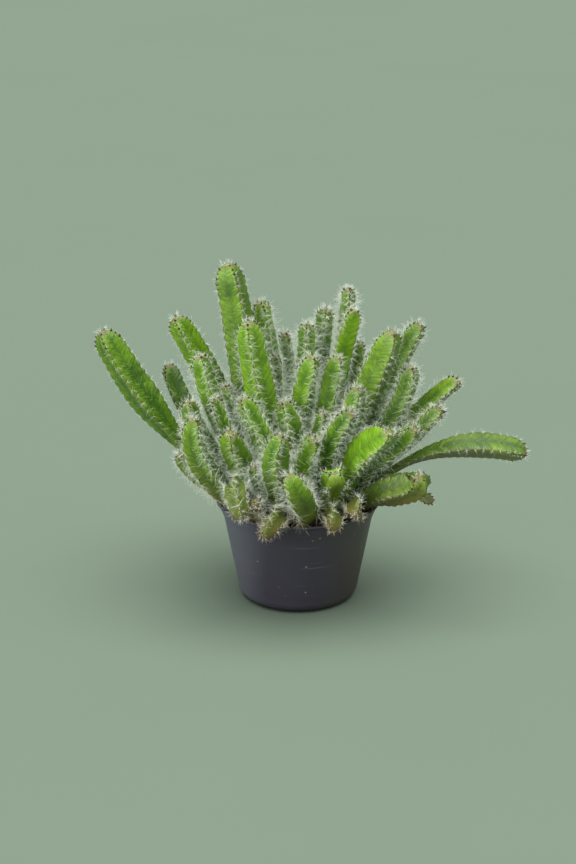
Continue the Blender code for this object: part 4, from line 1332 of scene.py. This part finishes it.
def tip_rows(axis, fur):
    """Rows as those of the areoles, for the tufts round a stem's tip."""
    most, longest = TIP_HAIRS
    bare, stubby = LEAST_HAIRS[1], LEAST_LENGTHS[1]
    stout = SLIM_SHARE + (1 - SLIM_SHARE) * axis.width / FULL_WIDTH
    hairs = round(most * (bare + (1 - bare) * fur) * stout / TIP_TUFTS)
    length = longest * (stubby + (1 - stubby) * fur) * stout
    tip, heading, across = axis.points[-1], axis.tangents[-1], axis.across[-1]
    rows = []
    for turn in np.arange(TIP_TUFTS) * math.tau / TIP_TUFTS:
        level = math.cos(turn) * across + math.sin(turn) * np.cross(heading, across)
        seat = tip - heading * TUFT_SINK + level * TUFT_CIRCLE * axis.width
        outward = unit(heading + TUFT_LEAN * level)
        rows.append((seat, outward, -heading, hairs, length, tan_share(tip), 0.0))
    return rows


def keep_areoles(group, rows):
    """Keeps a group's rows as a mesh of loose points, which the hairs and pads are set on later."""
    places, outward, along, hairs, lengths, tan, near = (np.array(column) for column in zip(*rows))
    mesh = bpy.data.meshes.new(f"areoles_{group}")
    mesh.from_pydata([Vector(place) for place in places * MM], [], [])
    add_attribute(mesh, "outward", "FLOAT_VECTOR", outward)
    add_attribute(mesh, "along", "FLOAT_VECTOR", along)
    add_attribute(mesh, "hairs", "INT", hairs)
    for key, values in (("length", lengths * MM), ("tan", tan), ("near", near)):
        add_attribute(mesh, key, "FLOAT", values)
    mesh.use_fake_user = True


def areole_object(name, group, near_tip=False):
    """An object on a copy of a group's areole points, or on those of them that are near a tip."""
    mesh = bpy.data.meshes[f"areoles_{group}"].copy()
    if near_tip:
        bm = bmesh.new()
        bm.from_mesh(mesh)
        near = bm.verts.layers.float["near"]
        bmesh.ops.delete(bm, geom=[vert for vert in bm.verts if vert[near] <= 0], context="VERTS")
        bm.to_mesh(mesh)
        bm.free()
    return new_object(name, mesh)


class CACTUS_OT_hairs(bpy.types.Operator):
    """Sets a star of bristles on every areole"""

    bl_idname = "cactus.hairs"
    bl_label = "Hairs"

    def execute(self, context):
        looks = context.scene.cactus_hairs
        tree, material = hair_tree(), hair_material(looks)
        for order, group in enumerate(HAIR_GROUPS):
            piece = areole_object(f"hairs_{group}", group)
            grow(piece, tree, looks, seed=SEED + 10 * order, material=material)
            dress(piece, [])
        return {"FINISHED"}


class CACTUS_OT_areoles(bpy.types.Operator):
    """Sets a felt pad on every areole, and dark scales on those near a tip"""

    bl_idname = "cactus.areoles"
    bl_label = "Areoles"

    def execute(self, context):
        looks = context.scene.cactus_hairs
        pads, felt = pad_tree(), pad_material(looks)
        scales, brown = scale_tree(), scale_material(looks)
        for order, group in enumerate(HAIR_GROUPS):
            seed = SEED + 100 + 10 * order
            piece = areole_object(f"pads_{group}", group)
            grow(piece, pads, looks, flatness=PAD_FLATNESS, seed=seed, material=felt)
            dress(piece, [])
            piece = areole_object(f"scales_{group}", group, near_tip=True)
            grow(piece, scales, looks, lean=SCALE_LEAN, seed=seed, material=brown)
            dress(piece, [])
        return {"FINISHED"}


def pot_profile():
    """The pot's outline: underside, rounded edge, wall, shoulder, flared band, lip and inner wall."""
    edge = POT_FOOT_RADIUS - POT_EDGE
    reach = wall_radius(POT_EDGE) - edge
    quarter = [(math.sin(turn), 1 - math.cos(turn)) for turn in np.radians(np.linspace(0, 90, EDGE_RINGS))]
    lip, under_lip = wall_radius(POT_HEIGHT - POT_LIP_HEIGHT), POT_HEIGHT - POT_LIP_HEIGHT
    outer = [(0, 0), (edge / 2, 0)]
    outer += [(edge + reach * out, POT_EDGE * up) for out, up in quarter]
    wall = np.linspace(WALL_FROM, POT_SHOULDER_HEIGHT - WALL_UNDER_SHOULDER, EDGE_RINGS)
    outer += [(wall_radius(height), height) for height in wall]
    outer += [(POT_SHOULDER_RADIUS + SHOULDER_BULGE, POT_SHOULDER_HEIGHT)]
    outer += [(wall_radius(height), height) for height in BAND_HEIGHTS]
    outer += [(lip, under_lip - LIP_UNDERCUT), (lip + POT_LIP_DEPTH * LIP_LEDGE, under_lip)]
    rim = arc((POT_RIM_RADIUS - POT_LIP_DEPTH, POT_HEIGHT - POT_LIP_DEPTH), POT_LIP_DEPTH, -30, 90, 5)
    inner_rim = wall_radius(POT_HEIGHT) - POT_WALL
    inner = arc((inner_rim + INNER_EDGE, POT_HEIGHT - INNER_EDGE), INNER_EDGE, 90, 180, 3)
    inner += [(wall_radius(height) - POT_WALL, height) for height in INNER_HEIGHTS]
    inner += [(edge + (reach - POT_WALL) * out, POT_FLOOR + POT_EDGE * up) for out, up in quarter[::-1]]
    return outer + rim + inner + [(0, POT_FLOOR)]


def drain_cutter(hole):
    """A post that stands where a drain hole is cut."""
    turn = math.tau * hole / DRAIN_HOLES
    sizes = {"radius1": DRAIN_RADIUS * MM, "radius2": DRAIN_RADIUS * MM, "depth": DRAIN_CUT * MM}
    bm = bmesh.new()
    bmesh.ops.create_cone(bm, cap_ends=True, segments=24, **sizes)
    centre = Vector((math.cos(turn), math.sin(turn), 0)) * DRAIN_CIRCLE * MM
    bmesh.ops.translate(bm, verts=bm.verts, vec=centre)
    return new_object(f"drain_cutter_{hole}", mesh_of("drain_cutter", bm))


class CACTUS_OT_pot(bpy.types.Operator):
    """Makes the fine pot, with its drain holes"""

    bl_idname = "cactus.pot"
    bl_label = "Pot"

    def execute(self, context):
        pot = new_object("nursery_pot", turned_mesh("nursery_pot", pot_profile(), POT_TURNS))
        cutters = [drain_cutter(hole) for hole in range(DRAIN_HOLES)]
        for cutter in cutters:
            modifier = pot.modifiers.new("Drain hole", "BOOLEAN")
            modifier.operation = "DIFFERENCE"
            modifier.solver = "EXACT"
            modifier.object = cutter
        make_plain(pot)
        for cutter in cutters:
            bpy.data.objects.remove(cutter)
        pot.data.materials.clear()
        pot.data.materials.append(plastic_material(context.scene.cactus_pot))
        dress(pot, ["pot"])
        return {"FINISHED"}


def soil_profile():
    """The soil's outline: from the pot's floor up its inner wall, and in over the upper side."""
    clear = POT_WALL + SOIL_CLEARANCE
    bottom = POT_FLOOR + SOIL_LIFT
    wall = (POT_EDGE + WALL_MARGINS[0], POT_SHOULDER_HEIGHT, SOIL_TOP - WALL_MARGINS[1])
    edge = wall_radius(SOIL_TOP) - clear
    profile = [(0, bottom), (POT_FOOT_RADIUS - POT_EDGE - SOIL_LIFT, bottom)]
    profile += [(wall_radius(height) - clear, height) for height in wall]
    return profile + [(edge * share, SOIL_TOP) for share in np.linspace(1, 0, SOIL_RINGS)]


class CACTUS_OT_soil(bpy.types.Operator):
    """Makes the soil's uneven surface, and scatters crumbs over it"""

    bl_idname = "cactus.soil"
    bl_label = "Soil"

    def execute(self, context):
        looks = context.scene.cactus_soil
        soil = new_object("potting_soil", turned_mesh("potting_soil", soil_profile(), SOIL_TURNS))
        for vertex in soil.data.vertices:
            if vertex.co.z > (SOIL_TOP - SURFACE_BAND) * MM:
                place = vertex.co / MM
                vertex.co.z += sum(lump * noise.noise(place / across) for across, lump in SOIL_LUMPS) * MM
        soil.data.materials.append(soil_material(looks, "peat", False))
        crumbs = new_object("soil_crumbs", soil.data.copy())
        grow(crumbs, crumb_tree(), looks, seed=SEED, material=soil_material(looks, "crumbs", True))
        dress(soil, ["soil"])
        dress(crumbs, [])
        return {"FINISHED"}


def add_sun(name, strength, towards, angle):
    """A soft distant light that shines along a direction."""
    light = bpy.data.lights.new(name, "SUN")
    light.energy = strength
    light.angle = math.radians(angle)
    obj = new_object(name, light)
    obj.rotation_euler = Vector(towards).to_track_quat("-Z", "Y").to_euler()
    return obj


def keep_off(light, obj):
    """Keeps a light off an object, as a flag on a stand does in a studio."""
    flagged = bpy.data.collections.new(f"{light.name}_flagged")
    flagged.objects.link(obj)
    flagged.collection_objects[0].light_linking.link_state = "EXCLUDE"
    light.light_linking.receiver_collection = flagged


def add_floor(looks):
    """The floor, which isn't part of the object."""
    bm = bmesh.new()
    bmesh.ops.create_grid(bm, x_segments=2, y_segments=2, size=FLOOR_HALF)
    floor = new_object("floor", mesh_of("floor", bm))
    floor.data.materials.append(floor_material(looks))
    return floor


def add_sky(scene, strength):
    """Even light from all sides."""
    world = bpy.data.worlds.new("soft_sky")
    world.use_nodes = True
    background = world.node_tree.nodes["Background"]
    background.inputs["Color"].default_value = SKY_COLOUR
    background.inputs["Strength"].default_value = strength
    scene.world = world


def add_camera(scene, looks):
    """The camera at the photograph's viewing angle."""
    camera = bpy.data.cameras.new("camera")
    camera.lens = looks.lens
    camera.sensor_width = SENSOR_WIDTH
    obj = new_object("camera", camera)
    tilt = looks.elevation
    right, up, back = CAMERA_PLACE
    above = Vector((0, math.sin(tilt), math.cos(tilt)))
    away = Vector((0, -math.cos(tilt), math.sin(tilt)))
    obj.location = (Vector((right, 0, 0)) + up * above + back * away) * MM
    obj.rotation_euler = (math.radians(90) - tilt, 0, 0)
    scene.camera = obj


class CACTUS_OT_stage(bpy.types.Operator):
    """Makes the floor, the soft lights and the camera"""

    bl_idname = "cactus.stage"
    bl_label = "Stage"

    def execute(self, context):
        looks = context.scene.cactus_stage
        floor = add_floor(looks)
        context.scene.view_settings.view_transform = "Standard"
        add_sky(context.scene, looks.sky)
        add_sun("key", looks.key, *KEY_LIGHT)
        keep_off(add_sun("side", looks.side, *SIDE_LIGHT), floor)
        add_camera(context.scene, looks)
        return {"FINISHED"}


class CACTUS_PT_panel(bpy.types.Panel):
    """Lists what dresses the cactus"""

    bl_idname = "CACTUS_PT_panel"
    bl_label = "Cactus"
    bl_space_type = "VIEW_3D"
    bl_region_type = "UI"
    bl_category = "Cactus"

    def draw(self, context):
        for group, (_, operators) in SETTINGS.items():
            box = self.layout.box()
            for name in operators:
                box.operator(name)
            settings = getattr(context.scene, group)
            for prop in settings.bl_rna.properties:
                if not prop.is_readonly and prop.identifier != "name":
                    box.prop(settings, prop.identifier)


# Each group of settings, and the operators that read it
SETTINGS = {
    "cactus_stems": (StemSettings, ["cactus.stems"]),
    "cactus_hairs": (HairSettings, ["cactus.hairs", "cactus.areoles"]),
    "cactus_pot": (PotSettings, ["cactus.pot"]),
    "cactus_soil": (SoilSettings, ["cactus.soil"]),
    "cactus_stage": (StageSettings, ["cactus.stage"]),
}
CLASSES = (
    *(kind for kind, _ in SETTINGS.values()),
    CACTUS_OT_stage,
    CACTUS_OT_pot,
    CACTUS_OT_soil,
    CACTUS_OT_stems,
    CACTUS_OT_areoles,
    CACTUS_OT_hairs,
    CACTUS_PT_panel,
)


def register():
    for kind in CLASSES:
        bpy.utils.register_class(kind)
    for name, (kind, _) in SETTINGS.items():
        setattr(bpy.types.Scene, name, bpy.props.PointerProperty(type=kind))


def unregister():
    for name in SETTINGS:
        delattr(bpy.types.Scene, name)
    for kind in reversed(CLASSES):
        bpy.utils.unregister_class(kind)


def main():
    register()
    bpy.ops.cactus.stage()
    bpy.ops.cactus.pot()
    bpy.ops.cactus.soil()
    bpy.ops.cactus.stems()
    bpy.ops.cactus.areoles()
    bpy.ops.cactus.hairs()


if __name__ == "__main__":
    main()
